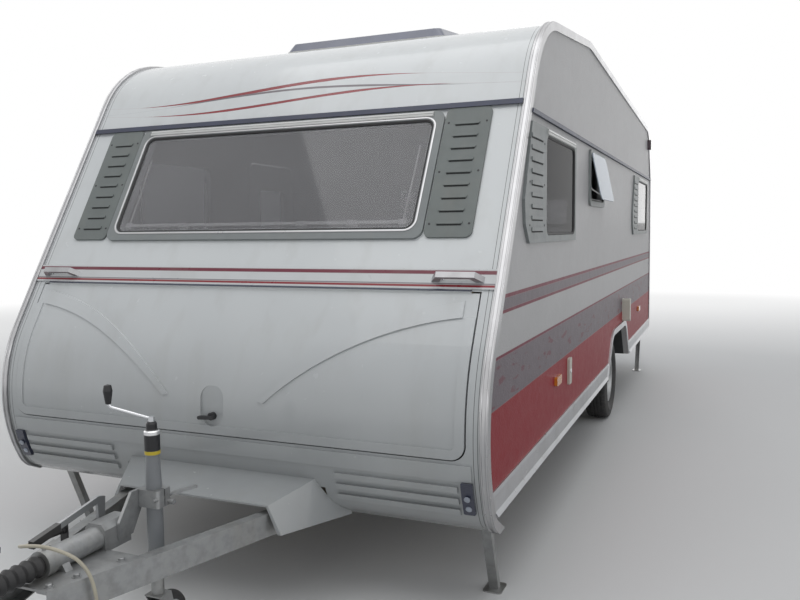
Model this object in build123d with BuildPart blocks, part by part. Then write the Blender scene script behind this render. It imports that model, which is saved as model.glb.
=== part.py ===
from build123d import *
import math
import os

os.makedirs("parts", exist_ok=True)

# A single-axle travel caravan, parked on its wheels, jockey wheel and four corner steadies.
# Stations run rearwards from the foremost point of the body and heights run up from the
# ground, both in millimetres. +X is the left side, away from the entrance door, and the
# drawbar points to -Y.

# Overall sizes
body_width = 2480.0             # over the outer faces of the side walls
ball_station = -1256.0          # centre of the coupling ball
head_half = 42.0                # half width of the coupling head
bumper_station = 6568.0         # rear face of the bumper
wall = 34.0                     # sandwich wall, roof and door
floor_bottom = 440.0
floor_thickness = 42.0
seat_gap = 0.3                  # between curved faces that meet
running_gap = 6.0               # round a panel that opens

body_front = -(ball_station - head_half + bumper_station) / 2
floor_top = floor_bottom + floor_thickness
side_face = body_width / 2
side_inner = side_face - wall

# Side view of the body: station, height, corner radius
profile = (
    (360.0, 250.0, 0.0),
    (95.0, 415.0, 150.0),
    (-96.0, 791.0, 700.0),
    (916.0, 2545.0, 600.0),
    (2230.0, 2706.0, 900.0),
    (6038.0, 2605.0, 300.0),
    (6348.0, 2075.0, 500.0),
    (6460.0, 250.0, 0.0),
)
front_run = 2                   # straight runs, by the corner at which each starts
front_roof_run = 3
roof_run = 4
rear_run = 6
rear_corner = profile[5][0]      # where the roof turns down to the rear wall
# Limits of a zone that is open towards the front, the rear or the sky
ahead = -300.0
behind = 7000.0
above = 3000.0

# Panel joints
valance_bottom = 360.0
lid_joint = 1324.0              # lower edge of the window wall
rail_height = 2135.0            # joint under the front rail
cap_joint = 1300.0              # station where the front cap meets the roof sheet
side_rail_height = 2095.0

# Wheels
axle_station = 3840.0
tyre_radius = 325.0
tyre_width = 185.0
track = 2190.0
rim_radius = 178.0
bead_half = 53.0
arch_half = 635.0
arch_shoulder = 400.0
arch_top = 735.0
arch_corner = 180.0


def at(station):
    """Y of a station."""
    return body_front + station


def outline_face(grow):
    """The body's side view as a face, grown outwards by an amount."""
    corners = [(at(station), height) for station, height, radius in profile]
    with BuildSketch() as face:
        with BuildLine():
            FilletPolyline(*corners, radius=[radius for station, height, radius in profile[1:-1]])
            Line(corners[-1], corners[0])
        make_face()
        if grow:
            offset(amount=grow, kind=Kind.INTERSECTION)
    return face.sketch


def skin(outer, inner, window, low, high):
    """A stretch of the body's skin between two offsets of the outline, from x = low to high."""
    with BuildPart() as piece:
        with BuildSketch(Plane.YZ.offset(low)):
            add(outline_face(outer))
            add(outline_face(inner), mode=Mode.SUBTRACT)
            Polygon(*[(at(station), height) for station, height in window], align=None,
                    mode=Mode.INTERSECT)
        extrude(amount=high - low)
    return piece.part


def front_skin(outer, inner, shape):
    """A layer of the front skin inside a shape drawn as seen from the front."""
    with BuildPart() as piece:
        with BuildSketch(Plane.XZ.offset(-at(450.0))):
            add(shape)
        extrude(amount=700.0)
        with BuildSketch(Plane.YZ.offset(-side_face)):
            add(outline_face(outer))
            add(outline_face(inner), mode=Mode.SUBTRACT)
        extrude(amount=body_width, mode=Mode.INTERSECT)
    return piece.part


def straight(run, height):
    """Station on a straight run of the outline at a height."""
    low = profile[run]
    high = profile[run + 1]
    return low[0] + (height - low[1]) * (high[0] - low[0]) / (high[1] - low[1])


def skin_plane(run, station, height, across=0.0):
    """The plane of a straight run of the skin: X across, local Y along the run, Z outwards."""
    rise = Vector(0, profile[run + 1][0] - profile[run][0], profile[run + 1][1] - profile[run][1])
    outward = Vector(0, -rise.Z, rise.Y).normalized()
    return Plane(origin=(across, at(station), height), x_dir=(1, 0, 0), z_dir=outward)


def roof_plane(station, across):
    """The plane of the roof at a station, in front of the ridge or behind it."""
    run = front_roof_run if station < profile[roof_run][0] else roof_run
    low = profile[run]
    high = profile[run + 1]
    height = low[1] + (station - low[0]) * (high[1] - low[1]) / (high[0] - low[0])
    return skin_plane(run, station, height, across)


def both_sides(part):
    """A part and its mirror image across the body's centre plane."""
    with BuildPart() as pair:
        add(part)
        mirror(part, about=Plane.YZ)
    return pair.part


def finish(part, label):
    """Names a piece and writes it."""
    part.label = label
    export_step(part, f"parts/{label}.step")


# Chassis
rail_web = 800.0                # outer face of each rail
section_depth = 95.0
section_flange = 45.0
section_steel = 4.0
rail_front = 1190.0
rail_rear = 6300.0
nose_station = -1020.0
nose_half = 110.0               # half width of the drawbar at its nose
section_bottom = floor_bottom - section_depth
cross_stations = (1330.0, 2500.0, 5100.0, 6200.0)
cross_width = 40.0
cross_depth = 70.0

with BuildPart() as rail:
    with BuildSketch(Plane.XZ.offset(-at(rail_rear))):
        with Locations((rail_web - section_flange / 2, section_bottom + section_depth / 2)):
            Rectangle(section_flange, section_depth)
        with Locations((rail_web - section_steel - section_flange / 2,
                        section_bottom + section_depth / 2)):
            Rectangle(section_flange, section_depth - 2 * section_steel, mode=Mode.SUBTRACT)
    extrude(amount=rail_rear - rail_front)
    with BuildSketch(Plane.YZ.offset(rail_web + 1)):
        with Locations((at(2600.0), section_bottom + section_depth / 2)):
            with GridLocations(520.0, 0, 4, 1):
                Circle(26.0)
        with Locations((at(5250.0), section_bottom + section_depth / 2)):
            with GridLocations(520.0, 0, 4, 1):
                Circle(26.0)
    extrude(amount=-section_steel - 2, mode=Mode.SUBTRACT)
chassis_rails = both_sides(rail.part)
finish(chassis_rails, "chassis_rails")

beam_slope = (rail_web - nose_half) / (rail_front - nose_station)
beam_flange = section_flange * math.hypot(1, beam_slope)
beam_steel = section_steel * math.hypot(1, beam_slope)


def beam_edge(station):
    """Outer edge of the left drawbar beam at a station."""
    return nose_half + (station - nose_station) * beam_slope


def beam_plan(outer, inner, front, rear):
    """Plan of a strip along the left beam between two distances from its outer edge."""
    return Polygon((beam_edge(front) - outer, at(front)), (beam_edge(rear) - outer, at(rear)),
                   (beam_edge(rear) - inner, at(rear)), (beam_edge(front) - inner, at(front)),
                   align=None)


with BuildPart() as beam:
    with BuildSketch(Plane.XY.offset(section_bottom)):
        beam_plan(0.0, beam_flange, nose_station, rail_front)
    extrude(amount=section_depth)
    with BuildSketch(Plane.XY.offset(section_bottom + section_steel)):
        beam_plan(beam_steel, beam_flange + 10, nose_station - 5, rail_front + 5)
    extrude(amount=section_depth - 2 * section_steel, mode=Mode.SUBTRACT)
drawbar_beams = both_sides(beam.part)
finish(drawbar_beams, "drawbar_beams")

with BuildPart() as cross_members:
    for station in cross_stations:
        with BuildSketch(Plane.YZ.offset(-rail_web + section_steel)):
            with Locations((at(station), section_bottom + section_steel + cross_depth / 2)):
                Rectangle(cross_width, cross_depth)
                Rectangle(cross_width - 6, cross_depth - 6, mode=Mode.SUBTRACT)
        extrude(amount=2 * (rail_web - section_steel))
finish(cross_members.part, "cross_members")

# Axle, trailing arms and hubs
arm_reach = 150.0               # axle tube centre to wheel centre
axle_height = 295.0
axle_across = 90.0
arm_inner = 900.0
arm_thickness = 38.0
stub_radius = 20.0
backplate_radius = 108.0
saddle_length = 130.0

with BuildPart() as axle_tube:
    with BuildSketch(Plane.YZ.offset(-arm_inner + seat_gap)):
        with Locations((at(axle_station - arm_reach), axle_height)):
            RegularPolygon(axle_across / 2, 6, major_radius=False)
            RegularPolygon(axle_across / 2 - 6, 6, major_radius=False, mode=Mode.SUBTRACT)
    extrude(amount=2 * (arm_inner - seat_gap))
    for sign in (-1, 1):
        with Locations((sign * (rail_web - section_flange / 2), at(axle_station - arm_reach),
                        (section_bottom + axle_height + axle_across / 2 - 8) / 2)):
            Box(section_flange + 16, saddle_length,
                section_bottom - axle_height - axle_across / 2 + 8)
finish(axle_tube.part, "axle_tube")

with BuildPart() as arm:
    with BuildSketch(Plane.YZ.offset(arm_inner)):
        with BuildLine():
            tube_centre = Vector(at(axle_station - arm_reach), axle_height)
            hub_centre = Vector(at(axle_station), tyre_radius)
            tilt = math.degrees(math.atan2(hub_centre.Y - tube_centre.Y, arm_reach))
            CenterArc(tube_centre, 58.0, tilt + 90, 180)
            CenterArc(hub_centre, 40.0, tilt - 90, 180)
            upper = Vector(0, 58.0).rotate(Axis.Z, tilt)
            upper_hub = Vector(0, 40.0).rotate(Axis.Z, tilt)
            Line(tube_centre + upper, hub_centre + upper_hub)
            Line(tube_centre - upper, hub_centre - upper_hub)
        make_face()
    extrude(amount=arm_thickness)
    with BuildSketch(Plane.YZ.offset(arm_inner + arm_thickness)):
        with Locations((at(axle_station), tyre_radius)):
            Circle(stub_radius)
    extrude(amount=110.0)
    with BuildSketch(Plane.YZ.offset(arm_inner + arm_thickness)):
        with Locations((at(axle_station), tyre_radius)):
            Circle(backplate_radius)
    extrude(amount=4.0)
finish(both_sides(arm.part), "suspension_arms")

# Road wheels: tyre section, then a rim with its drum and hub
for side, sign in (("left", 1), ("right", -1)):
    wheel_plane = Plane(origin=(sign * track / 2, at(axle_station), tyre_radius),
                        x_dir=(0, 1, 0), z_dir=(sign, 0, 0))
    with BuildPart() as tyre:
        with BuildSketch(Plane.XZ):
            with BuildLine():
                bead = rim_radius + seat_gap
                half = tyre_width / 2
                tread = half - 22.0
                clinch = Line((bead, bead_half), (bead + 16, bead_half + 1))
                flank = ThreePointArc((bead + 16, bead_half + 1), (bead + 66, half),
                                      (tyre_radius - 22, half - 8))
                shoulder = ThreePointArc((tyre_radius - 22, half - 8), (tyre_radius - 7, tread + 7),
                                         (tyre_radius - 3, tread - 8))
                ThreePointArc((tyre_radius - 3, tread - 8), (tyre_radius, 0),
                              (tyre_radius - 3, -tread + 8))
                mirror([clinch, flank, shoulder], about=Plane.XZ)
                Line((bead, bead_half), (bead, -bead_half))
            make_face()
        revolve(axis=Axis.Z)
    tyre_part = tyre.part.moved(wheel_plane.location)
    finish(tyre_part, f"tyre_{side}")
    with BuildPart() as rim:
        with BuildSketch(Plane.XZ):
            Polygon((stub_radius + seat_gap, -70), (125, -70), (125, -14), (56, -14), (56, 6),
                    (95, 18), (140, 8), (158, -20), (158, -68), (rim_radius + 12, -68),
                    (rim_radius + 12, -62), (rim_radius, -bead_half - 2), (rim_radius, bead_half + 2),
                    (rim_radius + 12, 62), (rim_radius + 12, 70), (166, 70), (160, 40), (146, 26),
                    (100, 32), (46, 22), (40, 46), (stub_radius + seat_gap, 46), align=None)
        revolve(axis=Axis.Z)
        with BuildSketch(Plane.XY.offset(-10)):
            with PolarLocations(118.0, 12):
                Circle(11.0)
        extrude(amount=60.0, mode=Mode.SUBTRACT)
    finish(rim.part.moved(wheel_plane.location), f"rim_{side}")

# Floor, wheel boxes and side walls
floor_front = 130.0
floor_rear = 6400.0
box_inner = 960.0
box_wall = 12.0


def arch_face(grow):
    """The wheel arch as seen from the side, grown outwards by an amount."""
    reach = 400.0
    with BuildSketch() as face:
        with BuildLine():
            left = at(axle_station - arch_half)
            right = at(axle_station + arch_half)
            FilletPolyline((left, floor_bottom - reach), (left, floor_bottom),
                           (at(axle_station - arch_shoulder), arch_top),
                           (at(axle_station + arch_shoulder), arch_top), (right, floor_bottom),
                           (right, floor_bottom - reach),
                           radius=[0, arch_corner, arch_corner, 0])
            Line((right, floor_bottom - reach), (left, floor_bottom - reach))
        make_face()
        if grow:
            offset(amount=grow, kind=Kind.INTERSECTION)
    return face.sketch


with BuildPart() as floor_panel:
    with BuildSketch(Plane.XY.offset(floor_bottom)):
        with Locations((0, at((floor_front + floor_rear) / 2))):
            Rectangle(2 * side_inner, floor_rear - floor_front)
    extrude(amount=floor_thickness)
    for sign in (-1, 1):
        with BuildSketch(Plane.YZ.offset(sign * (box_inner - box_wall - seat_gap))):
            add(arch_face(box_wall + seat_gap))
        extrude(amount=sign * 400.0, mode=Mode.SUBTRACT)
finish(floor_panel.part, "floor_panel")

with BuildPart() as wheel_box:
    with BuildSketch(Plane.YZ.offset(box_inner - box_wall)):
        add(arch_face(box_wall))
        with Locations((at(axle_station), floor_bottom - 500)):
            Rectangle(3000.0, 1000.0, mode=Mode.SUBTRACT)
    extrude(amount=side_inner - box_inner + box_wall)
    with BuildSketch(Plane.YZ.offset(box_inner)):
        add(arch_face(0.0))
    extrude(amount=400.0, mode=Mode.SUBTRACT)
finish(both_sides(wheel_box.part), "wheel_boxes")

# Side windows: front and rear of the glass, its bottom and top, reach of the louvre ahead of it
window_border = 32.0
glass_corner = 45.0
aperture_lap = 16.0
frame_proud = 14.0
pane_thickness = 6.0
lounge_window = (974.0, 1718.0, 1540.0, 2015.0, 384.0)
kitchen_window = (2280.0, 2828.0, 1746.0, 2034.0, 0.0)
bedroom_window = (5044.0, 5879.0, 1545.0, 2020.0, 395.0)
left_windows = (lounge_window, kitchen_window, bedroom_window)
right_windows = (lounge_window, bedroom_window)

# Entrance door in the right wall
door_front = 2170.0
door_rear = 2790.0
door_bottom = 492.0
door_top = 2072.0
door_corner = 60.0


def window_shape(window, grow, radius):
    """The glass outline of a side window, grown by an amount."""
    front, rear, bottom, top, louvre = window
    with BuildSketch() as shape:
        with Locations((at((front + rear) / 2), (bottom + top) / 2)):
            RectangleRounded(rear - front + 2 * grow, top - bottom + 2 * grow, radius)
    return shape.sketch


def door_shape(grow):
    """The door outline, grown by an amount."""
    with BuildSketch() as shape:
        with Locations((at((door_front + door_rear) / 2), (door_bottom + door_top) / 2)):
            RectangleRounded(door_rear - door_front + 2 * grow, door_top - door_bottom + 2 * grow,
                             door_corner + grow)
    return shape.sketch


def side_wall(windows, has_door):
    """One side wall, drawn on the left."""
    with BuildPart() as panel:
        with BuildSketch(Plane.YZ.offset(side_inner)):
            add(outline_face(-wall - seat_gap))
            with Locations((at((ahead + behind) / 2), floor_bottom / 2)):
                Rectangle(behind - ahead, floor_bottom, mode=Mode.SUBTRACT)
            add(arch_face(0.0), mode=Mode.SUBTRACT)
            for window in windows:
                add(window_shape(window, -aperture_lap, glass_corner - aperture_lap),
                    mode=Mode.SUBTRACT)
            if has_door:
                add(door_shape(running_gap), mode=Mode.SUBTRACT)
        extrude(amount=wall)
    return panel.part


side_wall_left = side_wall(left_windows, False)
finish(side_wall_left, "side_wall_left")
with BuildPart() as side_wall_right:
    mirror(side_wall(right_windows, True), about=Plane.YZ)
finish(side_wall_right.part, "side_wall_right")

# Front: valance panel, locker lid, window wall and cap
lid_half = side_face - 85.0
lid_bottom = 692.0
lid_top = 1317.0
lid_corner = 60.0
lid_thickness = 28.0
drawbar_opening_half = 525.0
drawbar_opening_top = 500.0
relief_root = 4.0               # how far a moulded relief reaches into its panel


def lid_shape(grow, top):
    """The lid as seen from the front, with round lower corners."""
    with BuildSketch() as shape:
        Polygon((-lid_half - grow, top), (lid_half + grow, top),
                (lid_half + grow, lid_bottom - grow), (-lid_half - grow, lid_bottom - grow),
                align=None)
        fillet(shape.vertices().group_by(Axis.Y)[0], radius=lid_corner + grow)
    return shape.sketch


front_zone = ((ahead, valance_bottom), (cap_joint, valance_bottom), (cap_joint, lid_joint),
              (ahead, lid_joint))

# Raised mouldings on each half of the valance: inner x, outer x, bottom, top, height proud
louvre_inner = 585.0
louvre_outer = side_face - 120.0
valance_reliefs = (
    (louvre_inner, louvre_outer, 556.0, 582.0, 12.0),
    (louvre_inner, louvre_outer, 506.0, 532.0, 12.0),
    (louvre_inner, louvre_outer, 456.0, 482.0, 12.0),
    (-1.0, side_face - 60.0, 606.0, 674.0, 7.0),
)

with BuildPart() as front_lower_panel:
    add(skin(0.0, -wall, front_zone, -side_face, side_face))
    with BuildSketch(Plane.XZ.offset(-at(450.0))):
        add(lid_shape(running_gap, lid_joint + 50))
    extrude(amount=700.0, mode=Mode.SUBTRACT)
    with BuildSketch(Plane.XZ.offset(-at(450.0))):
        with Locations((0, drawbar_opening_top - 250)):
            Rectangle(2 * drawbar_opening_half, 500.0)
    extrude(amount=700.0, mode=Mode.SUBTRACT)
    for inner, outer, bottom, top, proud in valance_reliefs:
        with BuildSketch() as strip:
            with Locations(((inner + outer) / 2, (bottom + top) / 2)):
                Rectangle(outer - inner, top - bottom)
            mirror(about=Plane.YZ)
        add(front_skin(proud, -relief_root, strip.sketch))
finish(front_lower_panel.part, "front_lower_panel")

# Lid mouldings: a crescent on each side and a raised rim
crescent_proud = 7.0
rim_proud = 5.0
rim_width = 40.0
with BuildSketch() as crescents:
    with BuildLine():
        ThreePointArc((235.0, 855.0), (600.0, 1128.0), (1100.0, 1288.0))
        Line((1100.0, 1288.0), (1100.0, 1226.0))
        ThreePointArc((1100.0, 1226.0), (620.0, 1085.0), (262.0, 848.0))
        Line((262.0, 848.0), (235.0, 855.0))
    make_face()
    mirror(about=Plane.YZ)
with BuildSketch() as lid_rim:
    add(lid_shape(0.0, 1226.0))
    with BuildSketch(mode=Mode.SUBTRACT):
        add(lid_shape(-rim_width, 1300.0))

recess_floor = 13.0             # station of the floor of the thumb recess
hinge_outset = 6.0
hinge_radius = 4.5
socket_wall = 3.0
hinge_half = side_face - 120.0
hinge_height = lid_joint - 3.0
front_slope = skin_plane(front_run, straight(front_run, hinge_height), hinge_height)
lid_axis = front_slope.offset(hinge_outset).origin

with BuildPart() as locker_lid:
    add(front_skin(0.0, -lid_thickness, lid_shape(0.0, lid_top)))
    add(front_skin(crescent_proud, -relief_root, crescents.sketch))
    add(front_skin(rim_proud, -relief_root, lid_rim.sketch))
    # Thumb recess behind the latch
    with BuildSketch(Plane.XZ.offset(-at(recess_floor))):
        with Locations((0, 818.0)):
            SlotCenterToCenter(60.0, 120.0, rotation=90)
    extrude(amount=40.0, mode=Mode.SUBTRACT)
    # Bead of the hinge
    with BuildSketch(Plane.YZ.offset(-hinge_half)):
        with Locations((lid_axis.Y, lid_axis.Z)):
            Circle(hinge_radius)
            with Locations((3.0, -9.0)):
                Rectangle(4.0, 18.0)
    extrude(amount=2 * hinge_half)
finish(locker_lid.part, "locker_lid")

with BuildPart() as lid_latch:
    with BuildSketch(Plane.XZ.offset(-at(recess_floor))):
        with Locations((0, 772.0)):
            Circle(17.0)
    extrude(amount=recess_floor + 9.0)
    with BuildSketch(Plane.XZ.offset(-at(-8.0))):
        with Locations((-20.0, 768.0)):
            RectangleRounded(84.0, 16.0, 7.5, rotation=4)
    extrude(amount=14.0)
finish(lid_latch.part, "lid_latch")

# Front window, louvre panels beside it, and the stripe moulding and rail above and below
front_glass_half = side_face - 426.0
front_glass_bottom = 1571.0
front_glass_top = rail_height - 67.0
front_border = 46.0
front_louvre_inner = front_glass_half + front_border + 6.0
front_louvre_outer = side_face - 160.0
slope_cos = math.cos(math.atan2(profile[front_run + 1][0] - profile[front_run][0],
                                profile[front_run + 1][1] - profile[front_run][1]))
front_glass_height = (front_glass_bottom + front_glass_top) / 2
front_glass_length = (front_glass_top - front_glass_bottom) / slope_cos
front_face = skin_plane(front_run, straight(front_run, front_glass_height), front_glass_height)

with BuildPart() as front_upper_panel:
    add(skin(0.0, -wall, ((ahead, lid_joint), (cap_joint, lid_joint), (cap_joint, rail_height),
                          (ahead, rail_height)), -side_face, side_face))
    # Level cut, so that each side of the opening is one plain board
    with BuildSketch(Plane.XZ.offset(-at(cap_joint))):
        with Locations((0, front_glass_height)):
            Rectangle(2 * (front_glass_half - aperture_lap),
                      front_glass_top - front_glass_bottom - 2 * aperture_lap)
    extrude(amount=cap_joint - ahead, mode=Mode.SUBTRACT)
finish(front_upper_panel.part, "front_upper_panel")

with BuildPart() as front_cap:
    add(skin(0.0, -wall, ((ahead, rail_height), (cap_joint, rail_height), (cap_joint, above),
                          (ahead, above)), -side_face, side_face))
finish(front_cap.part, "front_cap")

# Roof lights: station of the centre, offset to the left, length, width
roof_lights = (
    (1700.0, 90.0, 640.0, 1000.0),
    (5000.0, 0.0, 420.0, 420.0),
)
light_lap = 45.0
with BuildPart() as roof_panel:
    add(skin(0.0, -wall, ((cap_joint, rail_height), (rear_corner, rail_height),
                          (rear_corner, above), (cap_joint, above)), -side_face, side_face))
    for station, across, length, width in roof_lights:
        with BuildSketch(roof_plane(station, across).offset(60)):
            RectangleRounded(width - 2 * light_lap, length - 2 * light_lap, 40.0)
        extrude(amount=-200.0, mode=Mode.SUBTRACT)
finish(roof_panel.part, "roof_panel")

light_frame_proud = 34.0
dome_rise = 44.0
dome_wall = 5.0
with BuildPart() as roof_light_frames:
    for station, across, length, width in roof_lights:
        with BuildSketch(roof_plane(station, across)):
            RectangleRounded(width, length, 50.0)
            RectangleRounded(width - 2 * light_lap, length - 2 * light_lap, 40.0,
                             mode=Mode.SUBTRACT)
        extrude(amount=light_frame_proud)
finish(roof_light_frames.part, "roof_light_frames")
with BuildPart() as roof_light_domes:
    for station, across, length, width in roof_lights:
        seat = roof_plane(station, across)
        for cut, mode in ((0.0, Mode.ADD), (dome_wall, Mode.SUBTRACT)):
            with BuildSketch(seat.offset(light_frame_proud + seat_gap)):
                RectangleRounded(width - 8 - 2 * cut, length - 8 - 2 * cut, 46.0 - cut)
            with BuildSketch(seat.offset(light_frame_proud + dome_rise - cut)):
                RectangleRounded(width - 70 - 2 * cut, length - 70 - 2 * cut, 40.0 - cut)
            loft(mode=mode)
finish(roof_light_domes.part, "roof_light_domes")

# Rear wall with its window
rear_glass_half = 600.0
rear_glass_bottom = 1390.0
rear_glass_top = 1920.0
rear_glass_height = (rear_glass_bottom + rear_glass_top) / 2
rear_face = skin_plane(rear_run, straight(rear_run, rear_glass_height), rear_glass_height)
with BuildPart() as rear_wall:
    add(skin(0.0, -wall, ((rear_corner, floor_bottom), (behind, floor_bottom), (behind, above),
                          (rear_corner, above)), -side_face, side_face))
    with BuildSketch(rear_face.offset(50)):
        RectangleRounded(2 * (rear_glass_half - aperture_lap),
                         rear_glass_top - rear_glass_bottom - 2 * aperture_lap, glass_corner)
    extrude(amount=-150.0, mode=Mode.SUBTRACT)
finish(rear_wall.part, "rear_wall")

# Window frames and panes
rib_count = 9
rib_proud = 5.0
rib_height = 16.0
# Front edge of a louvre surround: station past its outer edge, height above its foot
louvre_edge = (
    (122.0, 539.0),
    (-18.0, 192.0),
    (-1.0, 82.0),
    (72.0, 0.0),
)
with BuildPart() as window_frames:
    for sign, windows in ((1, left_windows), (-1, right_windows)):
        for window in windows:
            front, rear, bottom, top, louvre = window
            edge = front - window_border - louvre
            with BuildSketch(Plane.YZ.offset(sign * side_face)):
                if louvre:
                    foot = bottom - window_border
                    Polygon(*[(at(edge + past), foot + up) for past, up in louvre_edge],
                            (at(rear + window_border), foot),
                            (at(rear + window_border), top + window_border), align=None)
                else:
                    add(window_shape(window, window_border, glass_corner))
                add(window_shape(window, 0.5, glass_corner), mode=Mode.SUBTRACT)
            extrude(amount=sign * frame_proud)
            if louvre:
                with BuildSketch(Plane.YZ.offset(sign * (side_face + frame_proud))):
                    with Locations((at(front - window_border - louvre / 2 + 26),
                                    (bottom + top) / 2)):
                        with GridLocations(0, (top - bottom - 60) / (rib_count - 1), 1, rib_count):
                            Rectangle(louvre - 150, rib_height)
                extrude(amount=sign * rib_proud)
    for face, half, length in (
            (front_face, front_glass_half, front_glass_length),
            (rear_face, rear_glass_half, rear_glass_top - rear_glass_bottom)):
        with BuildSketch(face):
            RectangleRounded(2 * (half + front_border), length + 2 * front_border, glass_corner)
            RectangleRounded(2 * half + 1, length + 1, glass_corner, mode=Mode.SUBTRACT)
        extrude(amount=frame_proud)
finish(window_frames.part, "window_frames")

with BuildPart() as louvre_panels:
    with BuildSketch(front_face):
        with Locations(((front_louvre_inner + front_louvre_outer) / 2, 8.0)):
            RectangleRounded(front_louvre_outer - front_louvre_inner, front_glass_length + 96, 30.0)
        mirror(about=Plane.YZ)
    extrude(amount=frame_proud - 4)
    with BuildSketch(front_face.offset(frame_proud - 4)):
        with Locations(((front_louvre_inner + front_louvre_outer) / 2, 0)):
            with GridLocations(0, (front_glass_length - 60) / (rib_count - 1), 1, rib_count):
                RectangleRounded(118.0, rib_height, 6.0)
        mirror(about=Plane.YZ)
    extrude(amount=rib_proud)
finish(louvre_panels.part, "louvre_panels")

kitchen_tilt = 12.0
with BuildPart() as window_panes:
    for sign, windows in ((1, left_windows), (-1, right_windows)):
        for window in windows:
            if window is not kitchen_window:
                with BuildSketch(Plane.YZ.offset(sign * side_face)):
                    add(window_shape(window, 0.0, glass_corner))
                extrude(amount=sign * pane_thickness)
    for face, half, length in (
            (front_face, front_glass_half, front_glass_length),
            (rear_face, rear_glass_half, rear_glass_top - rear_glass_bottom)):
        with BuildSketch(face):
            RectangleRounded(2 * half, length, glass_corner)
        extrude(amount=pane_thickness)
    front, rear, bottom, top, louvre = kitchen_window
    lean = math.radians(kitchen_tilt)
    pane_drop = top - bottom + 12
    pane_hinge = Plane(origin=(side_face + frame_proud + seat_gap, at((front + rear) / 2), top + 12),
                       x_dir=(0, 1, 0), z_dir=(math.cos(lean), 0, math.sin(lean)))
    with BuildSketch(pane_hinge):
        with Locations((0, -pane_drop / 2)):
            RectangleRounded(rear - front + 20, pane_drop, glass_corner)
    extrude(amount=pane_thickness)
finish(window_panes.part, "window_panes")
widest = (side_face + frame_proud + seat_gap + pane_drop * math.sin(lean)
          + pane_thickness * math.cos(lean))

# Rails, edge trims and the striped moulding
rail_proud = 14.0
rail_deep = 24.0
trim_proud = 9.0
trim_front_leg = 26.0
trim_side_leg = 32.0
rail_half = side_face - trim_front_leg - 1.0
with BuildPart() as body_rails:
    rail_low = rail_height - rail_deep / 2
    rail_high = rail_height + rail_deep / 2
    add(skin(rail_proud, seat_gap, ((ahead, rail_low), (cap_joint, rail_low),
                                    (cap_joint, rail_high), (ahead, rail_high)),
             -rail_half, rail_half))
    for sign in (-1, 1):
        with BuildSketch(Plane.YZ.offset(sign * side_face)):
            with Locations((0, side_rail_height)):
                Rectangle(2 * bumper_station, rail_deep - 4)
            add(outline_face(-trim_side_leg - seat_gap), mode=Mode.INTERSECT)
        extrude(amount=sign * rail_proud)
finish(body_rails.part, "body_rails")

stripe_bottom = 1334.0
stripe_top = 1412.0
stripe_proud = 8.0
with BuildPart() as stripe_moulding:
    add(skin(stripe_proud, seat_gap, ((ahead, stripe_bottom), (cap_joint, stripe_bottom),
                                      (cap_joint, stripe_top), (ahead, stripe_top)),
             -rail_half, rail_half))
    # Half-round socket that holds the bead of the lid's hinge
    with BuildSketch(Plane.YZ.offset(-hinge_half)):
        with Locations((lid_axis.Y, lid_axis.Z)):
            Circle(hinge_radius + seat_gap + socket_wall)
            with Locations((-14.0, -8.0)):
                Rectangle(40.0, 20.0, mode=Mode.SUBTRACT)
        Polygon((lid_axis.Y - 4.0, lid_axis.Z + hinge_radius),
                (at(straight(front_run, stripe_bottom)) - 7.0, stripe_bottom + 1.0),
                (at(straight(front_run, stripe_bottom)) - 1.0, stripe_bottom + 1.0),
                (lid_axis.Y + 4.0, lid_axis.Z + hinge_radius), align=None)
        with Locations((lid_axis.Y, lid_axis.Z)):
            Circle(hinge_radius + seat_gap, mode=Mode.SUBTRACT)
        add(outline_face(seat_gap), mode=Mode.SUBTRACT)
    extrude(amount=2 * hinge_half)
finish(stripe_moulding.part, "stripe_moulding")

trim_zone = ((ahead, valance_bottom), (cap_joint, valance_bottom), (cap_joint, floor_bottom),
             (behind, floor_bottom), (behind, above), (ahead, above))
with BuildPart() as edge_trim:
    add(skin(trim_proud, seat_gap, trim_zone, side_face - trim_front_leg, side_face + trim_proud))
    add(skin(trim_proud, -trim_side_leg, trim_zone, side_face + seat_gap, side_face + trim_proud))
finish(both_sides(edge_trim.part), "edge_trims")

# Skirts along the bottom of the side walls, with the arch trims
skirt_top = 556.0
arch_trim_width = 46.0
skirt_section = ((0.0, skirt_top), (6.0, skirt_top), (9.0, 540.0), (9.0, 470.0), (18.0, 447.0),
                 (12.0, 443.0), (0.0, 462.0))
skirt_front = 50.0
skirt_rear = 6440.0


def skirt(runs):
    """Skirt lengths on the left side, cut for the wheel arch, with the trim round the arch."""
    with BuildPart() as strip:
        for front, rear in runs:
            with BuildSketch(Plane.XZ.offset(-at(rear))):
                Polygon(*[(side_face + out, height) for out, height in skirt_section], align=None)
            extrude(amount=rear - front)
        with BuildSketch(Plane.YZ.offset(side_face - 1)):
            add(outline_face(-trim_side_leg - seat_gap))
        extrude(amount=40.0, mode=Mode.INTERSECT)
        with BuildSketch(Plane.YZ.offset(side_face - 1)):
            add(arch_face(arch_trim_width - 1))
        extrude(amount=40.0, mode=Mode.SUBTRACT)
        with BuildSketch(Plane.YZ.offset(side_face)):
            add(arch_face(arch_trim_width))
            add(arch_face(0.0), mode=Mode.SUBTRACT)
            with Locations((at(axle_station), 443.0 - 500)):
                Rectangle(3000.0, 1000.0, mode=Mode.SUBTRACT)
        extrude(amount=12.0)
    return strip.part


with BuildPart() as side_skirts:
    add(skirt(((skirt_front, axle_station), (axle_station, skirt_rear))))
    mirror(skirt(((skirt_front, door_front - 2 * running_gap),
                  (door_rear + 2 * running_gap, axle_station), (axle_station, skirt_rear))),
           about=Plane.YZ)
finish(side_skirts.part, "side_skirts")

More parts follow.
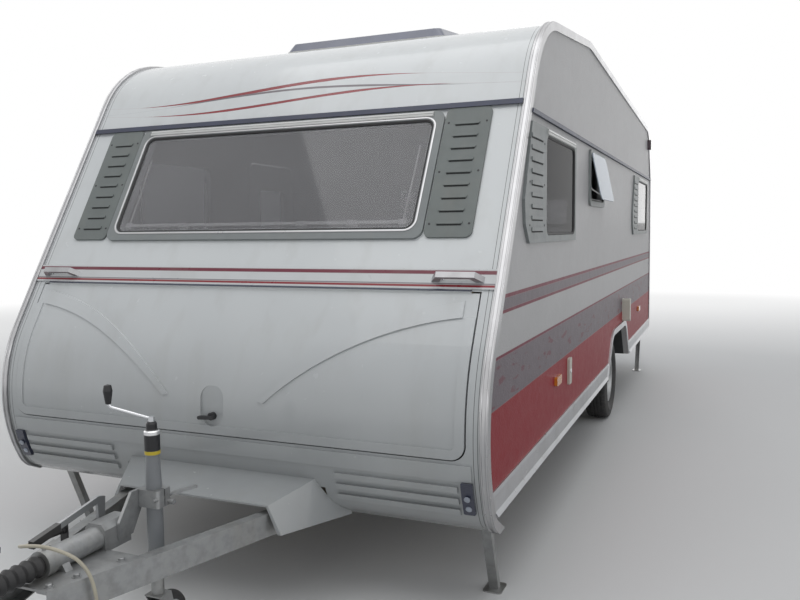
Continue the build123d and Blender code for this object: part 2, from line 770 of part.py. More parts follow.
# Gas locker inside the nose
partition_station = 470.0
partition = 18.0
shelf_top = 1302.0
with BuildPart() as locker_partition:
    with BuildSketch(Plane.YZ.offset(-side_inner)):
        Polygon((at(0.0), shelf_top - partition), (at(partition_station), shelf_top - partition),
                (at(partition_station), floor_top), (at(partition_station + partition), floor_top),
                (at(partition_station + partition), shelf_top), (at(0.0), shelf_top), align=None)
        add(outline_face(-wall - seat_gap), mode=Mode.INTERSECT)
    extrude(amount=2 * side_inner)
finish(locker_partition.part, "locker_partition")

# Sloping apron that covers the drawbar where it enters the body
apron_sheet = 8.0
apron_rear_half = 545.0
apron_rear_top = 572.0
apron_rear_foot = 596.0
apron_front_half = 380.0
apron_front_top = 475.0
apron_front_foot = 440.0
apron_front = -165.0
apron_rear = 160.0
with BuildPart() as drawbar_apron:
    for cut, mode, reach in ((0.0, Mode.ADD, 0.0), (apron_sheet, Mode.SUBTRACT, 1.0)):
        for station, half, foot, top in (
                (apron_front - reach, apron_front_half, apron_front_foot, apron_front_top),
                (apron_rear + reach, apron_rear_half, apron_rear_foot, apron_rear_top)):
            with BuildSketch(Plane.XZ.offset(-at(station))):
                Polygon((-half + cut, top - cut), (half - cut, top - cut),
                        (foot - cut, valance_bottom - reach * 20),
                        (-foot + cut, valance_bottom - reach * 20), align=None)
        loft(mode=mode)
    with BuildSketch(Plane.YZ.offset(-side_face)):
        add(outline_face(seat_gap))
    extrude(amount=body_width, mode=Mode.SUBTRACT)
finish(drawbar_apron.part, "drawbar_apron")

# Overrun device, gaiter and ball coupling
plate_thickness = 8.0
overrun_radius = 42.0
overrun_front = -945.0
overrun_rear = -560.0
shaft_height = floor_bottom + plate_thickness + overrun_radius - 3.0
collar_radius = overrun_radius + 3.5
housing_half = 46.0
head_rear = -1122.0
ball_radius = 25.25
socket_depth = 38.0
head_bottom = 428.0
head_top = 520.0
with BuildPart() as overrun_housing:
    with BuildSketch(Plane.XY.offset(floor_bottom)):
        Polygon((-nose_half, at(nose_station)), (nose_half, at(nose_station)),
                (beam_edge(-690.0), at(-690.0)), (-beam_edge(-690.0), at(-690.0)), align=None)
    extrude(amount=plate_thickness)
    with BuildSketch(Plane.XZ.offset(-at(overrun_rear))):
        with Locations((0, shaft_height)):
            Circle(overrun_radius)
    extrude(amount=overrun_rear - overrun_front)
    with BuildSketch(Plane.XZ.offset(-at(-700.0))):
        Polygon((-housing_half, floor_bottom), (housing_half, floor_bottom),
                (housing_half, shaft_height + 32), (28, shaft_height + 52), (-28, shaft_height + 52),
                (-housing_half, shaft_height + 32), align=None)
    extrude(amount=-130.0)
    with BuildSketch(Plane.XZ.offset(-at(-860.0))):
        Polygon((-60, floor_bottom), (60, floor_bottom), (30, shaft_height), (-30, shaft_height),
                align=None)
    extrude(amount=30.0)
    with BuildSketch(Plane.XZ.offset(-at(overrun_front + 36))):
        with Locations((0, shaft_height)):
            Circle(collar_radius)
    extrude(amount=36.0)
    with Locations((0, at(overrun_front + 20), shaft_height + collar_radius + 2)):
        Cylinder(7.0, 8.0)
finish(overrun_housing.part, "overrun_housing")

with BuildPart() as drawbar_gaiter:
    pitch = (overrun_front - head_rear) / 5
    with BuildSketch(Plane.XY):
        with BuildLine():
            points = [(0.0, at(head_rear))]
            for fold in range(5):
                start = at(head_rear) + fold * pitch
                points += [(29.0, start + (seat_gap if fold == 0 else 0)), (37.0, start + pitch / 2)]
            points += [(29.0, at(overrun_front) - seat_gap), (0.0, at(overrun_front) - seat_gap)]
            points[0] = (0.0, at(head_rear) + seat_gap)
            Polyline(*points, close=True)
        make_face()
    revolve(axis=Axis.Y)
gaiter = drawbar_gaiter.part.moved(Location((0, 0, shaft_height)))
finish(gaiter, "drawbar_gaiter")

with BuildPart() as coupling_head:
    with BuildSketch(Plane.XZ.offset(-at(head_rear))):
        with Locations((0, shaft_height)):
            Circle(34.0)
    with BuildSketch(Plane.XZ.offset(-at(head_rear - 60))):
        with Locations((0, (head_bottom + head_top) / 2)):
            RectangleRounded(2 * head_half - 6, head_top - head_bottom, 20.0)
    loft()
    with BuildSketch(Plane.XY.offset(head_bottom)):
        with BuildLine():
            Polyline((head_half, at(ball_station)), (head_half - 3, at(head_rear - 60)),
                     (-head_half + 3, at(head_rear - 60)), (-head_half, at(ball_station)))
            ThreePointArc((-head_half, at(ball_station)), (0, at(ball_station) - head_half),
                          (head_half, at(ball_station)))
        make_face()
    extrude(amount=head_top - head_bottom)
    fillet(coupling_head.faces().sort_by(Axis.Z)[-1].edges(), radius=12.0)
    # Socket for the ball
    with Locations((0, at(ball_station), head_bottom + socket_depth / 2)):
        Cylinder(ball_radius, socket_depth, mode=Mode.SUBTRACT)
    with Locations((0, at(ball_station), head_bottom + socket_depth + 6)):
        Cone(ball_radius, ball_radius - 12, 12.0, mode=Mode.SUBTRACT)
finish(coupling_head.part, "coupling_head")

with BuildPart() as drawbar_levers:
    # Coupling handle
    with BuildSketch(Plane.YZ.offset(-13.0)):
        Polygon((at(-1236.0), head_top + seat_gap), (at(-1190.0), head_top + seat_gap),
                (at(-1180.0), 545.0), (at(-1150.0), 575.0), (at(-1100.0), 592.0),
                (at(-1098.0), 610.0), (at(-1160.0), 596.0), (at(-1215.0), 562.0), align=None)
    extrude(amount=26.0)
    # Parking brake lever beside the overrun device
    with BuildSketch(Plane.YZ.offset(-86.0)):
        Polygon((at(-600.0), 478.0), (at(-572.0), 478.0), (at(-566.0), 590.0), (at(-600.0), 598.0),
                (at(-790.0), 560.0), (at(-790.0), 538.0), (at(-606.0), 572.0), align=None)
    extrude(amount=12.0)
    with BuildSketch(Plane.YZ.offset(-92.0)):
        Polygon((at(-786.0), 536.0), (at(-786.0), 562.0), (at(-905.0), 540.0), (at(-905.0), 514.0),
                align=None)
    extrude(amount=24.0)
    with BuildSketch(Plane.YZ.offset(-74.0)):
        with Locations((at(-590.0), 490.0)):
            Circle(11.0)
    extrude(amount=74.0 - housing_half)
finish(drawbar_levers.part, "drawbar_levers")

# Lighting cable, its gland and the socket that its plug is parked in
cable_radius = 6.0
plug_station = -850.0
plug_bottom = 320.0
socket_bottom = 392.0
gland_station = -738.0
# Route of the cable, from the gland to the plug: x, station, height
cable_route = (
    (-128.0, gland_station, 505.0),
    (-128.0, -880.0, 505.0),
    (-70.0, -975.0, 552.0),
    (60.0, -960.0, 568.0),
    (165.0, -900.0, 500.0),
    (185.0, -880.0, 330.0),
    (125.0, -862.0, 175.0),
    (0.0, plug_station, 190.0),
    (0.0, plug_station, plug_bottom),
)
route = [Vector(x, at(station), height) for x, station, height in cable_route]
bends = []
for before, corner, after in zip(route, route[1:], route[2:]):
    turn = math.radians((corner - before).get_angle(after - corner))
    run = min((corner - before).length, (after - corner).length)
    bends.append(0.45 * run / math.tan(turn / 2))
print("cable bends", [round(bend) for bend in bends])
with BuildPart() as drawbar_cable:
    with BuildLine() as cable_line:
        FilletPolyline(*route, radius=bends)
    with BuildSketch(Plane(origin=cable_line.line @ 0, z_dir=cable_line.line % 0)):
        Circle(cable_radius)
    sweep()
print("cable length", round(sum(edge.length for edge in cable_line.line.edges()), 1))
finish(drawbar_cable.part, "drawbar_cable")

with BuildPart() as cable_plug:
    with BuildSketch(Plane.XZ):
        Polygon((0, plug_bottom), (9, plug_bottom), (13, plug_bottom + 26), (18, plug_bottom + 30),
                (18, socket_bottom - 8), (22, socket_bottom - 8), (22, socket_bottom - seat_gap),
                (16, socket_bottom - seat_gap), (16, socket_bottom + 30), (0, socket_bottom + 30),
                align=None)
    revolve(axis=Axis.Z)
finish(cable_plug.part.moved(Location((0, at(plug_station), 0))), "cable_plug")

with BuildPart() as cable_mounts:
    with BuildSketch(Plane.XY.offset(socket_bottom)):
        with Locations((0, at(plug_station))):
            Circle(23.0)
            Circle(16.0 + seat_gap, mode=Mode.SUBTRACT)
    extrude(amount=36.0)
    with BuildSketch(Plane.XY.offset(socket_bottom + 36)):
        with Locations((0, at(plug_station))):
            Circle(23.0)
    extrude(amount=floor_bottom - socket_bottom - 36)
    # Gland on an upright plate
    with Locations((route[0].X, at(gland_station + 22), floor_bottom + plate_thickness + 40)):
        Box(36.0, 4.0, 80.0)
    with Locations((route[0].X, at(gland_station + 34), floor_bottom + plate_thickness + 2)):
        Box(36.0, 28.0, 4.0)
    with BuildSketch(Plane.XZ.offset(-at(gland_station))):
        with Locations((route[0].X, route[0].Z)):
            Circle(9.0)
    extrude(amount=-12.0)
    with BuildSketch(Plane.XZ.offset(-at(gland_station + 8))):
        with Locations((route[0].X, route[0].Z)):
            RegularPolygon(13.0, 6)
    extrude(amount=-14.0)
finish(cable_mounts.part, "cable_mounts")

# Jockey wheel beside the overrun device
jockey_x = 100.0
jockey_station = -500.0
outer_radius = 30.0
inner_radius = 24.0
tube_wall = 3.0
outer_bottom = 362.0
outer_top = 770.0
inner_top = 540.0
jockey_wheel_radius = 100.0
jockey_wheel_width = 50.0
jockey_trail = 45.0
fork_top = 214.0
fork_gap = 5.0
clamp_bottom = 556.0
clamp_height = 66.0
clamp_half = 49.0
jockey_place = Location((jockey_x, at(jockey_station), 0))

with BuildPart() as jockey_clamp:
    with BuildSketch(Plane.XY.offset(clamp_bottom)):
        with Locations((jockey_x, at(jockey_station))):
            RectangleRounded(2 * clamp_half, 76.0, 12.0)
            Circle(outer_radius + seat_gap, mode=Mode.SUBTRACT)
            with Locations((clamp_half, 0)):
                Rectangle(40.0, 5.0, mode=Mode.SUBTRACT)
    extrude(amount=clamp_height)
    # Bracket from the overrun housing
    with BuildSketch(Plane.YZ.offset(housing_half)):
        Polygon((at(-572.0), shaft_height - 20), (at(-518.0), clamp_bottom),
                (at(-518.0), clamp_bottom + clamp_height), (at(-572.0), clamp_bottom + clamp_height),
                (at(-640.0), shaft_height + 40), (at(-640.0), shaft_height - 20), align=None)
    extrude(amount=12.0)
    # Screw and lever that close the clamp
    with BuildSketch(Plane.XZ.offset(-at(jockey_station + 58))):
        with Locations((jockey_x + clamp_half - 9, clamp_bottom + clamp_height / 2)):
            Circle(7.0)
    extrude(amount=112.0)
    with BuildSketch(Plane.XY.offset(clamp_bottom + clamp_height / 2 - 6)):
        with Locations((jockey_x + 56, at(jockey_station + 104))):
            Rectangle(16.0, 110.0, rotation=-18)
    extrude(amount=12.0)
    # Knob of the clamp's second screw
    with BuildSketch(Plane.YZ.offset(jockey_x + clamp_half - 2)):
        with Locations((at(jockey_station + 24), clamp_bottom + 12)):
            Circle(10.0)
    extrude(amount=24.0)
finish(jockey_clamp.part, "jockey_clamp")

with BuildPart() as jockey_outer_tube:
    with BuildSketch(Plane.XZ):
        Polygon((inner_radius + 0.8, outer_bottom), (outer_radius, outer_bottom), (outer_radius, 640.0),
                (25.0, outer_top - 20), (29.0, outer_top - 19), (29.0, outer_top + 68),
                (20.0, outer_top + 76), (20.0, outer_top + 96), (15.0, outer_top + 104),
                (0.0, outer_top + 104), (0.0, outer_top + 20), (21.0, outer_top), (21.0, 745.0),
                (inner_radius + 0.8, 700.0), align=None)
    revolve(axis=Axis.Z)
finish(jockey_outer_tube.part.moved(jockey_place), "jockey_outer_tube")

crank_height = outer_top + 104.0
knob_x = -104.0
knob_y = -104.0
with BuildPart() as jockey_crank:
    with BuildSketch(Plane.XY.offset(crank_height + seat_gap)):
        Circle(12.0)
    extrude(amount=18.0)
    with BuildLine() as arm_path:
        FilletPolyline((0, 0, crank_height + 10), (knob_x * 0.94, knob_y * 0.94, crank_height + 66),
                       (knob_x, knob_y, crank_height + 78), (knob_x, knob_y, crank_height + 96),
                       radius=6.0)
    with BuildSketch(Plane(origin=arm_path.line @ 0, z_dir=arm_path.line % 0)):
        Circle(6.0)
    sweep()
    with BuildSketch(Plane.XZ.offset(-knob_y)):
        Polygon((knob_x, crank_height + 80), (knob_x + 10, crank_height + 80),
                (knob_x + 17, crank_height + 128), (knob_x + 13, crank_height + 148),
                (knob_x, crank_height + 152), align=None)
    revolve(axis=Axis((knob_x, knob_y, 0), (0, 0, 1)))
finish(jockey_crank.part.moved(jockey_place), "jockey_crank")

with BuildPart() as jockey_inner_tube:
    with BuildSketch(Plane.XY.offset(fork_top + seat_gap)):
        Circle(inner_radius)
        Circle(inner_radius - tube_wall, mode=Mode.SUBTRACT)
    extrude(amount=inner_top - fork_top)
    with BuildSketch(Plane.XY.offset(fork_top + seat_gap)):
        Circle(inner_radius)
    extrude(amount=10.0)
finish(jockey_inner_tube.part.moved(jockey_place), "jockey_inner_tube")

fork_plate = 5.0
fork_half = jockey_wheel_width / 2 + fork_gap
with BuildPart() as jockey_fork:
    with BuildSketch(Plane.YZ.offset(fork_half)):
        with BuildLine():
            Polyline((-34, fork_top), (34, fork_top), (jockey_trail + 17, jockey_wheel_radius + 6))
            ThreePointArc((jockey_trail + 17, jockey_wheel_radius + 6),
                          (jockey_trail + 4, jockey_wheel_radius - 18),
                          (jockey_trail - 17, jockey_wheel_radius - 2))
            Line((jockey_trail - 17, jockey_wheel_radius - 2), (-34, fork_top))
        make_face()
        with Locations((jockey_trail, jockey_wheel_radius)):
            Circle(6.3, mode=Mode.SUBTRACT)
    extrude(amount=fork_plate)
    mirror(about=Plane.YZ)
    with BuildSketch(Plane.XY.offset(fork_top - fork_plate)):
        Rectangle(2 * (fork_half + fork_plate), 68.0)
    extrude(amount=fork_plate)
    with BuildSketch(Plane.YZ.offset(-fork_half - fork_plate - 6)):
        with Locations((jockey_trail, jockey_wheel_radius)):
            Circle(6.0)
    extrude(amount=2 * (fork_half + fork_plate + 6))
    for sign in (-1, 1):
        with BuildSketch(Plane.YZ.offset(sign * (fork_half + fork_plate))):
            with Locations((jockey_trail, jockey_wheel_radius)):
                RegularPolygon(9.5, 6)
        extrude(amount=sign * 5.0)
finish(jockey_fork.part.moved(jockey_place), "jockey_fork")

hub_plane = Plane(origin=(jockey_x, at(jockey_station) + jockey_trail, jockey_wheel_radius),
                  x_dir=(0, 1, 0), z_dir=(1, 0, 0))
jockey_rim_radius = 66.0
with BuildPart() as jockey_tyre:
    with BuildSketch(Plane.XZ):
        with BuildLine():
            half = jockey_wheel_width / 2
            Polyline((jockey_wheel_radius - 12, -half), (jockey_rim_radius + seat_gap, -half),
                     (jockey_rim_radius + seat_gap, half), (jockey_wheel_radius - 12, half))
            ThreePointArc((jockey_wheel_radius - 12, half), (jockey_wheel_radius, 0),
                          (jockey_wheel_radius - 12, -half))
        make_face()
    revolve(axis=Axis.Z)
finish(jockey_tyre.part.moved(hub_plane.location), "jockey_tyre")
with BuildPart() as jockey_rim:
    with BuildSketch(Plane.XZ):
        Polygon((6.4, -27), (18, -27), (18, -6), (54, -6), (54, -23), (jockey_rim_radius, -23),
                (jockey_rim_radius, 23), (54, 23), (54, 6), (18, 6), (18, 27), (6.4, 27), align=None)
    revolve(axis=Axis.Z)
finish(jockey_rim.part.moved(hub_plane.location), "jockey_rim")

# Corner steadies: side, end, pivot station, foot station
steady_x = 1150.0
pivot_height = 385.0
leg_width = 42.0
leg_cheek = 4.0
pin_radius = 7.0
foot_thickness = 6.0
bracket_half = leg_width / 2 + 2 * running_gap
# Corner, side, station of the pivot, turn about Z that points the foot inwards
steadies = (
    ("front_left", 1, 290.0, 0.0),
    ("front_right", -1, 290.0, 0.0),
    ("rear_left", 1, 6300.0, 180.0),
    ("rear_right", -1, 6300.0, 180.0),
)
bracket_length = 430.0
bracket_steel = 4.0
screw_height = 423.0
foot_reach = 150.0
leg_half = 15.0                 # half depth of the leg's channel at the pivot

# Bracket and leg, drawn with the pivot at the origin and the foot towards +Y
with BuildPart() as steady_bracket:
    with BuildSketch(Plane.YZ.offset(-bracket_half)):
        Polygon((-40, floor_bottom), (bracket_length, floor_bottom), (bracket_length, 414),
                (90, 404), (30, pivot_height - 22), (-30, pivot_height - 22), (-40, 410), align=None)
    extrude(amount=2 * bracket_half)
    with Locations((0, bracket_length / 2, (floor_bottom + pivot_height) / 2 - bracket_steel - 20)):
        Box(2 * (bracket_half - bracket_steel), 2 * bracket_length, floor_bottom - pivot_height + 40,
            mode=Mode.SUBTRACT)
    with BuildSketch(Plane.YZ.offset(-bracket_half - 5)):
        with Locations((0, pivot_height)):
            Circle(pin_radius)
    extrude(amount=2 * bracket_half + 10)
    # Winding screw along the channel, held by a plate at each end
    with BuildSketch(Plane.XZ.offset(52)):
        with Locations((0, screw_height)):
            Circle(8.0)
    extrude(amount=-bracket_length - 30)
    for station in (-38.0, bracket_length - 26):
        with Locations((0, station, screw_height)):
            Box(2 * bracket_half - bracket_steel, 6.0, 26.0)

with BuildPart() as steady_leg:
    foot_plane = Plane.YZ.offset(-leg_width / 2)
    slope = (pivot_height - foot_thickness) / foot_reach
    across = leg_half * math.hypot(1, 1 / slope)
    with BuildSketch(foot_plane):
        with Locations((0, pivot_height)):
            Circle(leg_half + 2.0)
        Polygon((-across, pivot_height), (foot_reach - across, foot_thickness - 2),
                (foot_reach + across, foot_thickness - 2), (across, pivot_height), align=None)
    extrude(amount=leg_width)
    # Open back of the channel
    with BuildSketch(foot_plane.offset(leg_cheek)):
        Polygon((leg_cheek - across, pivot_height + 40), (leg_cheek - across, pivot_height),
                (foot_reach + leg_cheek - across - 30 / slope, foot_thickness + 30),
                (foot_reach + 3 * across, foot_thickness + 30), (3 * across, pivot_height + 40),
                align=None)
    extrude(amount=leg_width - 2 * leg_cheek, mode=Mode.SUBTRACT)
    with BuildSketch(foot_plane.offset(-1)):
        with Locations((0, pivot_height)):
            Circle(pin_radius + seat_gap)
    extrude(amount=leg_width + 2, mode=Mode.SUBTRACT)
    with BuildSketch(Plane.XY):
        with Locations((0, foot_reach)):
            RectangleRounded(84.0, 110.0, 16.0)
    extrude(amount=foot_thickness)

with BuildPart() as steady_brackets:
    for name, sign, pivot, turn in steadies:
        place = Location((sign * steady_x, at(pivot), 0), (0, 0, turn))
        add(steady_bracket.part.moved(place))
        finish(steady_leg.part.moved(place), f"steady_leg_{name}")
finish(steady_brackets.part, "steady_brackets")

# Entrance door with its pane and fittings
door_pane_bottom = 1380.0
door_pane_top = 1900.0
door_pane_half = (door_rear - door_front) / 2 - 120.0
door_centre = at((door_front + door_rear) / 2)
door_axis_x = -(side_face + 14.0)
door_axis_y = at(door_front) - 3.0
door_hinge_heights = (700.0, 1280.0, 1860.0)
with BuildSketch() as door_glass:
    with Locations((door_centre, (door_pane_bottom + door_pane_top) / 2)):
        RectangleRounded(2 * door_pane_half, door_pane_top - door_pane_bottom, glass_corner)
with BuildPart() as entry_door:
    with BuildSketch(Plane.YZ.offset(-side_face)):
        add(door_shape(0.0))
        offset(door_glass.sketch, amount=-aperture_lap, mode=Mode.SUBTRACT)
    extrude(amount=wall)
    # Hinge knuckles on the door
    for height in door_hinge_heights:
        with BuildSketch(Plane.XY.offset(height)):
            with Locations((door_axis_x, door_axis_y)):
                Circle(7.0)
            Polygon((door_axis_x, door_axis_y - 2), (door_axis_x, door_axis_y + 7),
                    (-side_face, door_axis_y + 34), (-side_face, door_axis_y + 6), align=None)
            with Locations((door_axis_x, door_axis_y)):
                Circle(4.0 + seat_gap, mode=Mode.SUBTRACT)
        extrude(amount=40.0)
finish(entry_door.part, "entry_door")

with BuildPart() as door_hinges:
    for height in door_hinge_heights:
        with BuildSketch(Plane.XY.offset(height - 20)):
            with Locations((door_axis_x, door_axis_y)):
                Circle(4.0)
        extrude(amount=80.0)
        for low in (height - 20, height + 40 + seat_gap):
            with BuildSketch(Plane.XY.offset(low)):
                with Locations((door_axis_x, door_axis_y)):
                    Circle(7.0)
                Polygon((door_axis_x, door_axis_y + 2), (door_axis_x, door_axis_y - 7),
                        (-side_face, door_axis_y - 36), (-side_face, door_axis_y - 6), align=None)
            extrude(amount=20.0 - seat_gap)
finish(door_hinges.part, "door_hinges")

with BuildPart() as door_pane:
    with BuildSketch(Plane.YZ.offset(-side_face)):
        add(door_glass.sketch)
    extrude(amount=-pane_thickness)
finish(door_pane.part, "door_pane")

with BuildPart() as door_fittings:
    with BuildSketch(Plane.YZ.offset(-side_face)):
        with Locations((at(door_rear) - 60.0, 1180.0)):
            RectangleRounded(64.0, 150.0, 14.0)
    extrude(amount=-12.0)
    with BuildSketch(Plane.YZ.offset(-side_face - 12.0)):
        with Locations((at(door_rear) - 60.0, 1200.0)):
            RectangleRounded(30.0, 84.0, 8.0)
    extrude(amount=-14.0)
    with BuildSketch(Plane.YZ.offset(-side_face)):
        offset(door_glass.sketch, amount=22.0)
        offset(door_glass.sketch, amount=0.5, mode=Mode.SUBTRACT)
    extrude(amount=-10.0)
finish(door_fittings.part, "door_fittings")

# Lamps: front markers, side markers, outline lamps and rear clusters
with BuildSketch() as marker_shape:
    with Locations((side_face - 80.0, 535.0)):
        RectangleRounded(48.0, 140.0, 6.0)
    mirror(about=Plane.YZ)
# Lamps on each side wall: station, height, length, depth, corner radius, height proud
side_lamps = (
    (1310.0, 775.0, 120.0, 48.0, 10.0, 16.0),
    (5300.0, 775.0, 120.0, 48.0, 10.0, 16.0),
    (rear_corner - 36.0, 2446.0, 46.0, 104.0, 14.0, 38.0),
)
tail_height = 790.0
tail_across = side_face - 160.0
with BuildPart() as lamps:
    add(front_skin(16.0, seat_gap, marker_shape.sketch))
    for sign in (-1, 1):
        for station, height, length, depth, corner, proud in side_lamps:
            with BuildSketch(Plane.YZ.offset(sign * side_face)):
                with Locations((at(station), height)):
                    RectangleRounded(length, depth, corner)
            extrude(amount=sign * proud)
        tail = skin_plane(rear_run, straight(rear_run, tail_height), tail_height,
                          sign * tail_across)
        with BuildSketch(tail):
            RectangleRounded(120.0, 300.0, 18.0)
        extrude(amount=38.0)
    # Awning lamp over the entrance door, as proud as the open window on the other side
    with BuildSketch(Plane.XZ.offset(-door_centre - 150)):
        Polygon((-side_face, rail_height), (-side_face, rail_height + 70),
                (-side_face - 30, rail_height + 63), (-widest, rail_height + 25),
                (-widest, rail_height + 11), (-side_face - 60, rail_height), align=None)
    extrude(amount=300.0)
finish(lamps.part, "lamps")

# Rear bumper moulding
bumper_half = rail_half - 2.0
bumper_wall = 6.0
with BuildPart() as rear_bumper:
    for cut, mode in ((0.0, Mode.ADD), (bumper_wall, Mode.SUBTRACT)):
        with BuildSketch(Plane.YZ.offset(-bumper_half + cut)):
            Polygon((at(6380.0), 408.0 + cut), (at(6520.0), 408.0 + cut),
                    (at(bumper_station - cut), 450.0), (at(bumper_station - cut), 520.0),
                    (at(6520.0), 572.0 - cut), (at(6380.0), 572.0 - cut), align=None)
        extrude(amount=2 * (bumper_half - cut), mode=mode)
    with BuildSketch(Plane.YZ.offset(-side_face)):
        add(outline_face(seat_gap))
    extrude(amount=body_width, mode=Mode.SUBTRACT)
finish(rear_bumper.part, "rear_bumper")

# Grab handles: plane of the skin, offset across
handle_height = 1366.0
handle_reach = 46.0
handle_length = 225.0
handle_across = side_face - 185.0
handle_grip = 26.0
with BuildPart() as grab_handles:
    for run, height in ((front_run, handle_height), (rear_run, 1150.0)):
        for sign in (-1, 1):
            seat = skin_plane(run, straight(run, height), height, sign * handle_across)
            lift = stripe_proud + seat_gap if run == front_run else 0.0
            outline = Plane(origin=seat.offset(lift).origin - seat.y_dir * handle_grip / 2,
                            x_dir=(1, 0, 0), z_dir=seat.y_dir)
            with BuildSketch(outline):
                half = handle_length / 2
                Polygon((-half, 0), (-half + 34, 0), (-half + 52, 16 - handle_reach),
                        (half - 52, 16 - handle_reach), (half - 34, 0), (half, 0),
                        (half - 30, -handle_reach), (-half + 30, -handle_reach), align=None)
            extrude(amount=handle_grip)
finish(grab_handles.part, "grab_handles")

# Covers on the side walls: flue cowl and service flap on the left, fridge vents on the right
fridge_station = door_rear + 450.0
with BuildPart() as wall_vents:
    with BuildSketch(Plane.YZ.offset(side_face)):
        with Locations((at(4075.0), 882.0)):
            RectangleRounded(72.0, 190.0, 18.0)
    extrude(amount=64.0)
    with BuildSketch(Plane.YZ.offset(side_face)):
        with Locations((at(1635.0), 770.0)):
            RectangleRounded(70.0, 150.0, 12.0)
    extrude(amount=14.0)
    for height in (1060.0, 1660.0):
        with BuildSketch(Plane.YZ.offset(-side_face)):
            with Locations((at(fridge_station), height)):
                RectangleRounded(460.0, 230.0, 18.0)
        extrude(amount=-8.0)
        with BuildSketch(Plane.YZ.offset(-side_face - 8.0)):
            with Locations((at(fridge_station), height)):
                with GridLocations(0, 30.0, 1, 6):
                    Rectangle(400.0, 14.0)
        extrude(amount=-6.0)
finish(wall_vents.part, "wall_vents")

# Furniture that shows through the windows
bench_front = partition_station + partition
bench_rear = 2250.0
bench_inner = 620.0
bench_top = 850.0
bench_side = side_inner - 4.0
cushion = 130.0
kitchen_station = 2730.0
kitchen_length = 860.0
kitchen_top = 1380.0
table_height = 1160.0
with BuildPart() as furniture:
    for sign in (-1, 1):
        with BuildSketch(Plane.XY.offset(floor_top)):
            with Locations((sign * (bench_inner + bench_side) / 2, at((bench_front + bench_rear) / 2))):
                Rectangle(bench_side - bench_inner, bench_rear - bench_front)
                offset(amount=-15.0, mode=Mode.SUBTRACT)
        extrude(amount=bench_top - floor_top - 15.0)
        with BuildSketch(Plane.XY.offset(bench_top - 15.0)):
            with Locations((sign * (bench_inner + bench_side) / 2, at((bench_front + bench_rear) / 2))):
                Rectangle(bench_side - bench_inner, bench_rear - bench_front)
        extrude(amount=15.0)
    with BuildSketch(Plane.XY.offset(table_height)):
        with Locations((0, at(1350.0))):
            RectangleRounded(1000.0, 760.0, 60.0)
    extrude(amount=28.0)
    with BuildSketch(Plane.XY.offset(floor_top)):
        with Locations((0, at(1350.0))):
            Circle(34.0)
    extrude(amount=table_height - floor_top)
    with BuildSketch(Plane.XY.offset(floor_top)):
        with Locations((0, at(1350.0))):
            Circle(190.0)
    extrude(amount=14.0)
    with Locations(((bench_inner + bench_side) / 2, at(kitchen_station), (kitchen_top + floor_top) / 2)):
        Box(bench_side - bench_inner, kitchen_length, kitchen_top - floor_top)
        Box(bench_side - bench_inner - 30, kitchen_length - 30, kitchen_top - floor_top - 30,
            mode=Mode.SUBTRACT)
finish(furniture.part, "furniture")

with BuildPart() as cushions:
    for sign in (-1, 1):
        with BuildSketch(Plane.XY.offset(bench_top + seat_gap)):
            with Locations((sign * (bench_inner + bench_side) / 2, at((bench_front + bench_rear) / 2))):
                RectangleRounded(bench_side - bench_inner - 20, bench_rear - bench_front - 20, 40.0)
        extrude(amount=cushion)
        with BuildSketch(Plane.XY.offset(bench_top + cushion + 2 * seat_gap)):
            with Locations((sign * (bench_side - 70.0), at((bench_front + bench_rear) / 2))):
                RectangleRounded(120.0, bench_rear - bench_front - 30, 40.0)
        extrude(amount=400.0)
finish(cushions.part, "cushions")
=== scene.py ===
"""Travel caravan: finishes, soft goods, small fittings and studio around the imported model.

Every size is in metres in the model's frame: +X is the caravan's left side, -Y points to the
coupling, +Z is up. A station is a distance rearwards from the foremost point of the body.
"""
import math

import bmesh
import bpy
import numpy as np
from mathutils import Matrix, Vector


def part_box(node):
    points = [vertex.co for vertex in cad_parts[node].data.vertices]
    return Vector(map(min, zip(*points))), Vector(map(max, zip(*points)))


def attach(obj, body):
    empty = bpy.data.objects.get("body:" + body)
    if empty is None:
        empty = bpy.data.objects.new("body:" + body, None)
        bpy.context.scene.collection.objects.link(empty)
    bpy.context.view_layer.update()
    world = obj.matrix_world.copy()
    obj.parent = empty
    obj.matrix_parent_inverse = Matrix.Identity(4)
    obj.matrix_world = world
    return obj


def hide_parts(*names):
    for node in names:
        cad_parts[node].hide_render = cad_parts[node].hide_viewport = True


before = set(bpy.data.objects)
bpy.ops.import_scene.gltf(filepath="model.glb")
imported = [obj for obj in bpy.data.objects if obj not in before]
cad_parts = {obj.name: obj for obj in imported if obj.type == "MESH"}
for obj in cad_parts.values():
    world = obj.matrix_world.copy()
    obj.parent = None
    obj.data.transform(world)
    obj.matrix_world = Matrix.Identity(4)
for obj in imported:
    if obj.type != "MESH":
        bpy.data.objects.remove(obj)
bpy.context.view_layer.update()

bl_info = {
    "name": "Travel Caravan",
    "version": (1, 0, 0),
    "blender": (4, 5, 0),
    "location": "3D View > Sidebar > Caravan",
    "description": "Finishes, soft goods, small fittings and studio for the travel caravan",
    "category": "Object",
}

# Places and sizes shared with the solids
BODY_FRONT = -2.635             # Y of station 0
SIDE_FACE = 1.24                # Half the width over the walls
FRAME_PROUD = 0.014             # How far frames, panes and trims stand off the skin
PANE = 0.006
TRIM_PROUD = 0.009
GLASS_CORNER = 0.045            # Radius of the panes' corners
AXLE = (1.205, 0.325)           # Y and Z of the wheels
TRACK_HALF = 1.095
NOSE_RUN, FRONT_RUN, FRONT_ROOF_RUN, REAR_RUN = 1, 2, 3, 6      # Rows of the side view
FRONT_GLASS_HEIGHT = 1.8195     # Z of the middle of the front window
LOUNGE_HEIGHT, BEDROOM_HEIGHT = 1.7775, 1.7825
KITCHEN_STATION = 2.554         # Middle of the hinged kitchen pane
SIDES = (("left", 1), ("right", -1))
